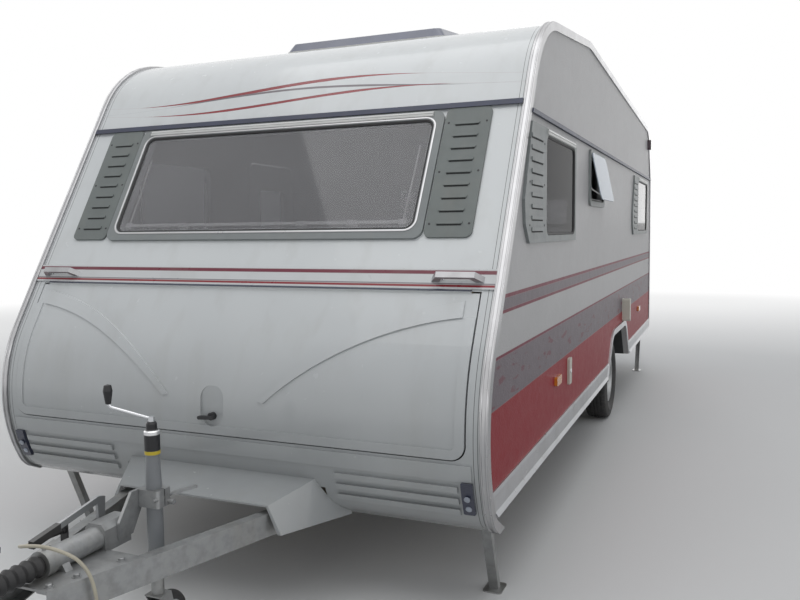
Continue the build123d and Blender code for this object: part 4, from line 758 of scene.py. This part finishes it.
class CARAVAN_OT_stage(bpy.types.Operator):
    """Sets the camera at the photograph's angle, the pale floor, the soft lamps and the world"""

    bl_idname = "caravan.stage"
    bl_label = "Camera, Floor and Light"

    def execute(self, context):
        scene = context.scene
        yaw, pitch, roll = map(math.radians, CAMERA_TURNS)
        ahead = Vector((-math.sin(yaw) * math.cos(pitch), math.cos(yaw) * math.cos(pitch),
                        math.sin(pitch)))
        right = Vector((math.cos(yaw), math.sin(yaw), 0.0))
        up = right.cross(ahead)
        right, up = (math.cos(roll) * right + math.sin(roll) * up,
                     math.cos(roll) * up - math.sin(roll) * right)
        lens = bpy.data.cameras.new("photo camera")
        lens.sensor_width = CAMERA_SENSOR
        lens.lens = CAMERA_LENS
        camera = bpy.data.objects.new("photo_camera", lens)
        camera.matrix_world = Matrix.Translation(CAMERA_PLACE) @ Matrix(
            (right, up, -ahead)).transposed().to_4x4()
        scene.collection.objects.link(camera)
        scene.camera = camera

        for name, place, aim, size, power in LAMPS:
            lamp = bpy.data.lights.new(name, "AREA")
            lamp.size = size
            lamp.energy = power
            holder = bpy.data.objects.new(name, lamp)
            holder.location = place
            heading = Vector(aim) - Vector(place)
            holder.rotation_euler = heading.to_track_quat("-Z", "Y").to_euler()
            scene.collection.objects.link(holder)

        finish = Finish("studio floor", tuple(scene.caravan_colours.floor), 0.75)
        finish.mottle(0.6, 0.3, (0.68, 0.68, 0.67))
        finish.done()
        distance = finish.node("ShaderNodeVectorMath", {"operation": "LENGTH"},
                               {0: finish.place}).pick("Value")
        white = finish.node("ShaderNodeEmission", {}, {"Color": WHITE, "Strength": 1.0})
        finish.cover(finish.seen() * finish.ramp(distance, *FLOOR_FADES), white)
        ends = np.array((-FLOOR_HALF, FLOOR_HALF))
        points, faces = grid(np.stack((*np.meshgrid(ends, ends), np.zeros((2, 2))), -1))
        mesh = bpy.data.meshes.new("studio_floor")
        mesh.from_pydata(points.tolist(), [], faces[0].tolist())
        mesh.materials.append(finish.material)
        floor = bpy.data.objects.new("studio_floor", mesh)
        scene.collection.objects.link(floor)

        scene.world = bpy.data.worlds.new("studio")
        scene.world.use_nodes = True
        sky = Nodes(scene.world.node_tree, "Background", "World Output")
        sky.link("Color", (0.86, 0.90, 0.96, 1.0))
        sky.link("Strength", 0.40)
        sky.cover(sky.seen(), sky.node("ShaderNodeBackground", {},
                                       {"Color": WHITE, "Strength": 1.0}))
        scene.view_settings.view_transform = "Standard"
        return {"FINISHED"}


class CARAVAN_OT_finishes(bpy.types.Operator):
    """Mixes every finish and lays it on the solids"""

    bl_idname = "caravan.finishes"
    bl_label = "Finishes"

    def execute(self, context):
        mix_finishes()
        return {"FINISHED"}


class CARAVAN_OT_cable(bpy.types.Operator):
    """Makes the lighting cable on one smooth curve from its gland to the parked plug"""

    bl_idname = "caravan.cable"
    bl_label = "Lighting Cable"

    def execute(self, context):
        diameter = context.scene.caravan_sizes.cable_diameter
        # x, station, height
        route = (
            (-0.128, -0.738, 0.505),
            (-0.128, -0.880, 0.505),
            (-0.070, -0.975, 0.552),
            (0.060, -0.960, 0.568),
            (0.165, -0.900, 0.500),
            (0.185, -0.880, 0.330),
            (0.125, -0.862, 0.175),
            (0.000, -0.850, 0.190),
            (0.000, -0.850, 0.320),
        )
        curve = bpy.data.curves.new("lighting_cable", "CURVE")
        curve.dimensions = "3D"
        spline = curve.splines.new("NURBS")
        spline.points.add(len(route) - 1)
        for point, (x, station, height) in zip(spline.points, route):
            point.co = (x, along(station), height, 1.0)
        spline.order_u = 3
        spline.use_endpoint_u = True
        spline.resolution_u = 16
        curve.bevel_depth = diameter / 2
        curve.bevel_resolution = 5
        curve.use_fill_caps = True
        curve.materials.append(FINISHES["cable_sheath"])
        cable = bpy.data.objects.new("lighting_cable", curve)
        context.scene.collection.objects.link(cable)
        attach(cable, "caravan")
        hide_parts("drawbar_cable")
        x, station, height = route[0]
        gland = (x, along(station), height)

        # Ribbed relief that tapers from the gland
        length, wave = 0.046, 0.0092
        levels = np.linspace(0.0, length, 14)
        radius = (0.0092 - 0.0024 * levels / length
                  + 0.0006 * np.cos(levels * 2 * math.pi / wave))
        base = (np.array(gland), np.array((1.0, 0, 0)), np.array((0, 0, 1.0)),
                np.array((0, -1.0, 0)))
        tip = length + 0.0002
        profile = [(0.0, 0.0), *zip(radius, levels), (diameter / 2, tip), (0.0, tip)]
        relief = put("cable_relief", turned(base, profile), "black_rubber")
        return {"FINISHED"}


class CARAVAN_OT_tyres(bpy.types.Operator):
    """Makes the road tyres with their tread"""

    bl_idname = "caravan.tyres"
    bl_label = "Road Tyres"

    def execute(self, context):
        depth = context.scene.caravan_sizes.groove_depth
        # Half section from bead to middle of the tread: radius, distance from the middle
        flank = np.array((
            (0.1783, 0.0530), (0.1943, 0.0540), (0.2080, 0.0690), (0.2240, 0.0820),
            (0.2360, 0.0885), (0.2440, 0.0915), (0.2560, 0.0915), (0.2580, 0.0922),
            (0.2640, 0.0922), (0.2660, 0.0908), (0.2850, 0.0880), (0.3030, 0.0835),
            (0.3130, 0.0790), (0.3190, 0.0710), (0.3220, 0.0620), (0.3232, 0.0500)))
        steps = np.array((0.0480, 0.0475, 0.0415, 0.0410, 0.0330, 0.0240, 0.0170, 0.0165, 0.0105,
                          0.0100, 0.0000))
        # The tread is crowned by a parabola over its width
        edge_radius, edge = flank[-1]
        crown = np.stack((edge_radius + 0.0017 * (1 - (steps / edge) ** 2), steps), -1)
        half = np.concatenate((flank, crown))
        radius, across = np.concatenate((half, half[-2::-1] * (1, -1))).T
        turns = 384
        angle = circle(turns)[:, None]
        distance = np.abs(across)
        # Two grooves round each half and slots across the shoulders and blocks
        groove = ((distance > 0.0405) & (distance < 0.0478)) | (
            (distance > 0.0098) & (distance < 0.0168))
        slot = (np.arange(turns)[:, None] + np.where(across > 0, 2, 0)) % 6 < 1
        slotted = slot & (radius > 0.3129) & (distance > 0.0165)
        reach = radius - np.where(groove, depth, np.where(slotted, 0.8 * depth, 0.0))
        for side, sign in SIDES:
            points = np.stack((np.broadcast_to(sign * TRACK_HALF + across, reach.shape),
                               AXLE[0] + reach * np.cos(angle),
                               AXLE[1] + reach * np.sin(angle)), -1)
            tyre = put(f"road_tyre_{side}", grid(points, True, True), "tyre_rubber",
                       f"wheel_{side}", sharp=28.0)
            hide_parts(f"tyre_{side}")
        return {"FINISHED"}


class CARAVAN_OT_hubs(bpy.types.Operator):
    """Makes the wheel bolts, grease caps and tyre valves"""

    bl_idname = "caravan.hubs"
    bl_label = "Wheel Bolts and Caps"

    def execute(self, context):
        bolt = [(0.0, -0.004), (0.0105, -0.004), (0.0105, 0.010), (0.0085, 0.013), (0.0, 0.013)]
        washer = [(0.0, -0.005), (0.0135, -0.005), (0.0130, 0.002), (0.0, 0.002)]
        cap = [(0.0, 0.044), (0.034, 0.044), (0.034, 0.049), (0.030, 0.050), (0.030, 0.060),
               (0.026, 0.066), (0.0, 0.068)]
        bolt_circle, bolt_face, valve_circle = 0.072, 0.029, 0.150
        for side, sign in SIDES:
            wheel = f"wheel_{side}"
            base = (np.array((sign * TRACK_HALF, *AXLE)), np.array((0, sign, 0.0)),
                    np.array((0, 0, 1.0)), np.array((sign, 0, 0.0)))
            places = (bolt_circle * np.cos(circle(5)), bolt_circle * np.sin(circle(5)),
                      bolt_face)
            put(f"wheel_bolts_{side}", joined([
                scattered(base, lambda flat: turned(flat, bolt, 6), *places),
                scattered(base, lambda flat: turned(flat, washer, 16), *places)]),
                "galvanised", wheel)
            put(f"hub_cap_{side}", turned(base, cap, 32), "black_plastic", wheel)
            stem = lay(base, valve_circle, 0.0, np.array((0.020, 0.034, 0.046, 0.056)))
            put(f"tyre_valve_{side}", tube(stem, 0.0038), "black_rubber", wheel)
        return {"FINISHED"}


class CARAVAN_OT_window_seals(bpy.types.Operator):
    """Makes the rubber lip round each pane and the hinge rail above it"""

    bl_idname = "caravan.window_seals"
    bl_label = "Window Seals and Rails"

    def execute(self, context):
        width = context.scene.caravan_sizes.seal_width
        # Sections as outset and rise
        lip = [(0.0004, PANE), (0.0004, PANE + 0.006), (-0.3 * width, PANE + 0.0075),
               (-0.8 * width, PANE + 0.005), (-width, PANE)]
        strip = [(outset, FRAME_PROUD + rise) for outset, rise in (
            (0.004, -0.001), (0.004, 0.0020), (0.006, 0.0030), (0.011, 0.0030),
            (0.013, 0.0020), (0.013, -0.001))]
        # Hinge rail: share of its depth, rise
        ridge = ((0.0, 0.0), (0.0, 0.0045), (0.18, 0.0070), (0.40, 0.0070), (0.50, 0.0035),
                 (0.60, 0.0070), (0.82, 0.0070), (1.0, 0.0045), (1.0, 0.0))
        for name, body, base, half_width, half_height, border in WINDOWS:
            glass = half_width, half_height, GLASS_CORNER
            put(f"window_seal_{name}", ring(base, *glass, lip), "black_rubber", body)
            if name == "front":
                put("front_window_strip", ring(base, *glass, strip), "aluminium")
            if body == "door":
                continue
            up = -1.0 if name == "rear" else 1.0
            foot = half_height + (0.014 if name == "front" else 0.005)
            depth = min(0.026, border - 0.008, border + half_height - foot - 0.002)
            section = [(up * (foot + part * depth), FRAME_PROUD + rise) for part, rise in ridge]
            put(f"hinge_rail_{name}", bar(base, section, 0.01 - half_width, half_width - 0.01),
                "white_plastic")
        lip = [(0.0, 0.001), (0.0, 0.012), (-0.006, 0.012), (-0.009, 0.006), (-0.006, 0.001)]
        kitchen = side_base(1, KITCHEN_STATION, 1.890)
        put("window_seal_kitchen", ring(kitchen, 0.274, 0.144, GLASS_CORNER, lip), "black_rubber")
        return {"FINISHED"}


class CARAVAN_OT_window_stays(bpy.types.Operator):
    """Makes the catch rail and the two stays behind each hinged pane"""

    bl_idname = "caravan.window_stays"
    bl_label = "Window Stays"

    def execute(self, context):
        rail = ((-0.007, -0.004), (-0.007, -0.012), (0.0, -0.015), (0.007, -0.012),
                (0.007, -0.004))
        from_side, from_foot = 0.062, 0.046
        for name, body, base, half_width, half_height, border in WINDOWS:
            if body == "door":
                continue
            up = -1.0 if name == "rear" else 1.0
            reach = half_width - from_side
            low = up * (from_foot - half_height)
            shapes = [bar(base, [(low + rise, out) for rise, out in rail], -reach, reach)]
            for side in (-1, 1):
                arm = lay(base, side * np.array((reach, reach + 0.006, reach + 0.008)),
                          np.array((low, 0.0, up * 0.55 * half_height)),
                          np.array((-0.010, -0.012, -0.010)))
                shapes += [tube(arm, 0.0042), plate(base, 0.020, 0.014, 0.004, -0.024, -0.004,
                                                    shift=(side * reach, low))]
            shapes += [plate(base, 0.026, 0.011, 0.005, -0.028, -0.004,
                             shift=(part * half_width, low)) for part in (-0.52, 0.30, 0.62)]
            put(f"window_stays_{name}", joined(shapes), "white_plastic")
        # Out and up along a stay of the open kitchen pane, which leans out at its foot
        lean, hang, stay_half = math.radians(12.0), 0.262, 0.262
        route = (0.004, 1.842), (0.018, 1.815), (0.014 + hang * math.sin(lean), 1.784)
        arms = [tube([(SIDE_FACE + out, along(KITCHEN_STATION) + end, height)
                      for out, height in route], 0.004) for end in (-stay_half, stay_half)]
        put("window_stays_kitchen", joined(arms), "white_plastic")
        return {"FINISHED"}


class CARAVAN_OT_louvres(bpy.types.Operator):
    """Makes the painted shadow strips under the louvre ribs, and the screws of the louvre panels"""

    bl_idname = "caravan.louvres"
    bl_label = "Louvre Shadows and Screws"

    def execute(self, context):
        # Local frame, side, middle across, half a painted shadow strip, pitch, screws across and
        # up, proud
        front = skin_base(FRONT_RUN, FRONT_GLASS_HEIGHT)
        pitch = (2 * FRONT_GLASS[1] - 0.060) / 8
        panels = [(front, side, 0.973, 0.055, pitch, (0.884, 1.062), 0.262, 0.010)
                  for side in (-1, 1)]
        for station, width, height in ((0.776, 0.234, LOUNGE_HEIGHT),
                                       (4.840, 0.245, BEDROOM_HEIGHT)):
            column = width / 2 + 0.030
            panels += [(side_base(side, station, height), side, 0.0, width / 2 - 0.004, 0.0519,
                        (-column, column), 0.190, FRAME_PROUD) for side in (-1, 1)]
        head = [(0.0, -0.0005), (0.0055, -0.0005), (0.0050, 0.0012), (0.0022, 0.0018),
                (0.0018, 0.0008), (0.0, 0.0008)]
        ribs = np.arange(9) - 4.0
        rib_shadows, screws = [], []
        for base, side, middle, half, pitch, columns, rise, proud in panels:
            # Thin black strips just under each rib: the rib's painted shadow over the louvre's
            # openings
            rib_shadows.append(scattered(
                base, lambda flat: plate(flat, half, 0.0032, 0.003, -0.0004, 0.0007, 0.0003),
                side * middle, ribs * pitch - 0.0115, proud))
            screws.append(scattered(base, lambda flat: turned(flat, head, 12),
                                    side * np.repeat(columns, 3), np.tile((-rise, 0.0, rise), 2),
                                    proud))
        put("louvre_rib_shadows", joined(rib_shadows), "rib_shadow_black")
        put("louvre_screws", joined(screws), "black_plastic")
        return {"FINISHED"}


class CARAVAN_OT_trim_beads(bpy.types.Operator):
    """Makes the ridges along the corner trims"""

    bl_idname = "caravan.trim_beads"
    bl_label = "Trim Ridges"

    def execute(self, context):
        radius = context.scene.caravan_sizes.bead_radius
        low_front, low_rear = 0.372, 0.450
        line = outline(TRIM_PROUD)
        line = line[(line[:, 1] > low_front) & ((line[:, 0] < 0) | (line[:, 1] > low_rear))]
        (station, height, *_), (far_station, far_height, *_) = PROFILE[:2]
        nose = np.interp(low_front, (height, far_height), (along(station), along(far_station)))
        line = np.concatenate(([(nose - 0.006, low_front)], line, [(along(6.457), low_rear)]))
        beads = [tube(np.column_stack((np.full(len(line), side * x), line)), radius)
                 for side in (-1, 1) for x in (SIDE_FACE - 0.020, SIDE_FACE + 0.002)]
        put("trim_beads", joined(beads), "aluminium")
        return {"FINISHED"}


class CARAVAN_OT_roof_joint(bpy.types.Operator):
    """Makes the joint strip over the front of the roof"""

    bl_idname = "caravan.roof_joint"
    bl_label = "Roof Joint Strip"

    def execute(self, context):
        section = [(-0.022, 0.0), (-0.020, 0.0035), (-0.006, 0.0045), (0.006, 0.0045),
                   (0.020, 0.0035), (0.022, 0.0)]
        put("roof_joint_strip", bar(roof_base(FRONT_ROOF_RUN, 1.300), section, -1.212, 1.212),
            "white_plastic")
        return {"FINISHED"}


class CARAVAN_OT_drawbar_bolts(bpy.types.Operator):
    """Makes the bolts of the drawbar's base plate and of the axle brackets"""

    bl_idname = "caravan.drawbar_bolts"
    bl_label = "Drawbar Bolts"

    def execute(self, context):
        bolt = [(0.0, 0.0), (0.0175, 0.0), (0.0175, 0.0022), (0.0112, 0.0023), (0.0112, 0.0095),
                (0.0095, 0.0110), (0.0, 0.0110)]
        small = [(0.6 * radius, 0.6 * height) for radius, height in bolt]
        plate_places = [(side * x, along(station), 0.448) for side in (-1, 1)
                        for x, station in ((0.086, -0.990), (0.112, -0.900), (0.158, -0.745))]
        axle_places = [(side * (0.7775 + x), along(3.690 + y), 0.345) for side in (-1, 1)
                       for x in (-0.024, 0.024) for y in (-0.054, 0.054)]
        for name, profile, down, places in (("base_plate_bolts", bolt, 1.0, plate_places),
                                            ("axle_bolts", small, -1.0, axle_places)):
            base = (np.zeros(3), np.array((1.0, 0, 0)), np.array((0, down, 0)),
                    np.array((0, 0, down)))
            put(name, copies(turned(base, profile, 6), places), "galvanised")
        return {"FINISHED"}


def screw(base):
    """A cross-head screw of the handles and of the rear plate."""
    return turned(base, [(0.0, 0.0), (0.0050, 0.0), (0.0046, 0.0015), (0.0022, 0.0022),
                         (0.0018, 0.0010), (0.0, 0.0010)], 12)


class CARAVAN_OT_handle_screws(bpy.types.Operator):
    """Makes the screws of the four grab handles"""

    bl_idname = "caravan.handle_screws"
    bl_label = "Handle Screws"

    def execute(self, context):
        # Run, height, lift of the handle's foot
        screws = [scattered(skin_base(run, height, side * (SIDE_FACE - 0.185)), screw,
                            np.array((-0.064, 0.064)), 0.0, lift)
                  for run, height, lift in ((FRONT_RUN, 1.366, 0.007), (REAR_RUN, 1.150, 0.0))
                  for side in (-1, 1)]
        put("handle_screws", joined(screws), "chrome")
        return {"FINISHED"}


class CARAVAN_OT_reflectors(bpy.types.Operator):
    """Makes the round reflectors in the nose lamps"""

    bl_idname = "caravan.reflectors"
    bl_label = "Nose Reflectors"

    def execute(self, context):
        button = [(0.0, 0.012), (0.0125, 0.012), (0.0125, 0.0172), (0.0095, 0.0185),
                  (0.0, 0.0190)]
        dots = [turned(skin_base(NOSE_RUN, height, side * (SIDE_FACE - 0.080)), button)
                for side in (-1, 1) for height in (0.500, 0.545)]
        put("marker_reflectors", joined(dots), "reflector")
        return {"FINISHED"}


class CARAVAN_OT_flap_lock(bpy.types.Operator):
    """Makes the lock of the service flap"""

    bl_idname = "caravan.flap_lock"
    bl_label = "Flap Lock"

    def execute(self, context):
        lock = [(0.0, -0.001), (0.013, -0.001), (0.013, 0.003), (0.011, 0.0045),
                (0.006, 0.0045), (0.005, 0.0030), (0.0, 0.0030)]
        put("flap_lock", turned(side_base(1, 1.635, 0.770, 0.014), lock), "chrome")
        return {"FINISHED"}


class CARAVAN_OT_roof_light_ribs(bpy.types.Operator):
    """Makes the ribs on the front roof light"""

    bl_idname = "caravan.roof_light_ribs"
    bl_label = "Roof Light Ribs"

    def execute(self, context):
        dome = roof_base(FRONT_ROOF_RUN, 1.700, 0.090)
        rib = ((-0.010, 0.0775), (-0.007, 0.0800), (0.007, 0.0800), (0.010, 0.0775))
        ribs = [bar(dome, [(up + width, rise) for width, rise in rib], -0.420, 0.420)
                for up in (-0.18, -0.06, 0.06, 0.18)]
        put("roof_light_ribs", joined(ribs), "black_plastic")
        return {"FINISHED"}


class CARAVAN_OT_rear_plate(bpy.types.Operator):
    """Makes the blank rear plate and its screws"""

    bl_idname = "caravan.rear_plate"
    bl_label = "Rear Plate"

    def execute(self, context):
        base = skin_base(REAR_RUN, 0.700)
        put("rear_plate", plate(base, 0.260, 0.056, 0.008, 0.0002, 0.0035), "plate_white")
        put("plate_screws", scattered(base, screw, np.array((-0.200, 0.200)), 0.0, 0.0034),
            "chrome")
        return {"FINISHED"}


class CARAVAN_OT_door_bead(bpy.types.Operator):
    """Makes the rubber bead round the entrance door"""

    bl_idname = "caravan.door_bead"
    bl_label = "Door Bead"

    def execute(self, context):
        low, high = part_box("entry_door")
        middle, half = (low + high) / 2, (high - low) / 2
        base = (np.array((-SIDE_FACE, middle.y, middle.z)), *side_base(-1, 0.0, 0.0)[1:])
        bead = [(-0.012, -0.0005), (-0.012, 0.0016), (-0.009, 0.0026), (-0.005, 0.0026),
                (-0.002, 0.0014), (-0.002, -0.0005)]
        put("door_edge_bead", ring(base, half.y, half.z, 0.060, bead), "black_rubber", "door")
        return {"FINISHED"}


def cushion_form(centre, half):
    """A stuffed block: a rounded box grown on a grid of directions.

    Each point runs from the centre towards a direction and stops on a superellipsoid, where the
    sum of the seventh powers of its three shares of the half sizes is 1.
    """
    turn, lift = circle(64), np.linspace(-math.pi / 2, math.pi / 2, 28)
    level, height, across, length = (
        np.sign(wave) * np.abs(wave) ** (2.0 / 7.0)
        for wave in (np.cos(lift), np.sin(lift), np.cos(turn), np.sin(turn)))
    shares = np.stack((np.outer(level, across), np.outer(level, length),
                       np.broadcast_to(height[:, None], (len(lift), len(turn)))), -1)
    return centre + half * shares


def points_of(mesh):
    """The points of a mesh as an array (n, 3)."""
    points = np.empty(len(mesh.vertices) * 3)
    mesh.vertices.foreach_get("co", points)
    return points.reshape(-1, 3)


class CARAVAN_OT_cushions(bpy.types.Operator):
    """Makes the seat and back cushions of the front benches, blown up as cloth"""

    bl_idname = "caravan.cushions"
    bl_label = "Seat Cushions"

    def execute(self, context):
        low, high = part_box("cushions")
        # Name, half width, half height, middle across, middle up
        for name, half_width, half_height, middle, height in (
                ("seat", 0.271, 0.065, 0.911, 0.9153), ("back", 0.060, 0.200, 1.132, 1.1806)):
            for side_name, side in SIDES:
                centre = np.array((side * middle, (low.y + high.y) / 2, height))
                half = np.array((half_width - 0.012, (high.y - low.y) / 2 - 0.022,
                                 half_height - 0.010))
                cushion = put(f"{name}_cushion_{side_name}",
                              grid(cushion_form(centre, half), False, True), "fabric",
                              sharp=180.0)
                remesh = cushion.modifiers.new("skin", "REMESH")
                remesh.mode = "VOXEL"
                remesh.voxel_size = 0.022
                self.settle(context, cushion, centre, half)
                self.seam(cushion, centre, half)
                if (name, side) == ("seat", 1):
                    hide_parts("cushions")
        return {"FINISHED"}

    def settle(self, context, cushion, centre, half):
        """Remeshes the form, blows it up as cloth and keeps it within its place."""
        self.apply(context, cushion)
        start = points_of(cushion.data)
        frames = 16
        cloth = cushion.modifiers.new("cloth", "CLOTH")
        cloth.settings.use_pressure = True
        cloth.settings.uniform_pressure_force = 4.0
        cloth.settings.effector_weights.gravity = 0.0
        cloth.point_cache.frame_start = 1
        cloth.point_cache.frame_end = frames
        for number in range(1, frames + 1):
            context.scene.frame_set(number)
        self.apply(context, cushion)
        context.scene.frame_set(1)
        move = points_of(cushion.data) - start
        far = np.linalg.norm(move, axis=1, keepdims=True)
        move *= np.minimum(1.0, 0.016 / np.maximum(far, 1e-9))
        room = half + (0.010, 0.010, 0.009)
        points = np.clip(start + move, centre - room, centre + room)
        cushion.data.vertices.foreach_set("co", points.ravel())
        cushion.data.update()

    def seam(self, cushion, centre, half):
        """Draws in two seams across: each pulls towards the middle by a bell curve of the
        distance from it, mostly through the thickness."""
        away = points_of(cushion.data) - centre
        pinch = sum(np.exp(-((away[:, 1] - place) / 0.016) ** 2)
                    for place in (-half[1] / 3, half[1] / 3))
        thin, wide = (0, 2) if half[0] < half[2] else (2, 0)
        away[:, thin] *= 1.0 - 0.10 * np.clip(pinch, 0.0, 1.0)
        away[:, wide] *= 1.0 - 0.02 * np.clip(pinch, 0.0, 1.0)
        cushion.data.vertices.foreach_set("co", (centre + away).ravel())
        cushion.data.polygons.foreach_set("use_smooth", np.ones(len(cushion.data.polygons), bool))
        smooth = cushion.modifiers.new("smooth", "SUBSURF")
        smooth.levels = smooth.render_levels = 1

    def apply(self, context, cushion):
        """Keeps the mesh that the modifiers give and removes them."""
        graph = context.evaluated_depsgraph_get()
        graph.update()
        mesh = bpy.data.meshes.new_from_object(cushion.evaluated_get(graph), depsgraph=graph)
        cushion.modifiers.clear()
        cushion.data = mesh


OPERATORS = (CARAVAN_OT_stage, CARAVAN_OT_finishes, CARAVAN_OT_cable, CARAVAN_OT_tyres,
             CARAVAN_OT_hubs, CARAVAN_OT_window_seals, CARAVAN_OT_window_stays,
             CARAVAN_OT_louvres, CARAVAN_OT_trim_beads, CARAVAN_OT_roof_joint,
             CARAVAN_OT_drawbar_bolts, CARAVAN_OT_handle_screws, CARAVAN_OT_reflectors,
             CARAVAN_OT_flap_lock, CARAVAN_OT_roof_light_ribs, CARAVAN_OT_rear_plate,
             CARAVAN_OT_door_bead, CARAVAN_OT_cushions)


class CARAVAN_PT_panel(bpy.types.Panel):
    """Lists the sizes, the colours and the pieces in the order of making"""

    bl_idname = "CARAVAN_PT_panel"
    bl_label = "Travel Caravan"
    bl_space_type = "VIEW_3D"
    bl_region_type = "UI"
    bl_category = "Caravan"

    def draw(self, context):
        for name in CaravanSizes.__annotations__:
            self.layout.prop(context.scene.caravan_sizes, name)
        for name in CaravanColours.__annotations__:
            self.layout.prop(context.scene.caravan_colours, name)
        for operator in OPERATORS:
            self.layout.operator(operator.bl_idname)


CLASSES = (CaravanSizes, CaravanColours, *OPERATORS, CARAVAN_PT_panel)


def register():
    """Registers the classes and the scene's settings."""
    for each in CLASSES:
        bpy.utils.register_class(each)
    bpy.types.Scene.caravan_sizes = bpy.props.PointerProperty(type=CaravanSizes)
    bpy.types.Scene.caravan_colours = bpy.props.PointerProperty(type=CaravanColours)


def unregister():
    """Takes the settings and the classes away."""
    del bpy.types.Scene.caravan_colours
    del bpy.types.Scene.caravan_sizes
    for each in reversed(CLASSES):
        bpy.utils.unregister_class(each)


def main():
    """Makes everything in order."""
    register()
    for operator in OPERATORS:
        group, name = operator.bl_idname.split(".")
        getattr(getattr(bpy.ops, group), name)()


if __name__ == "__main__":
    main()
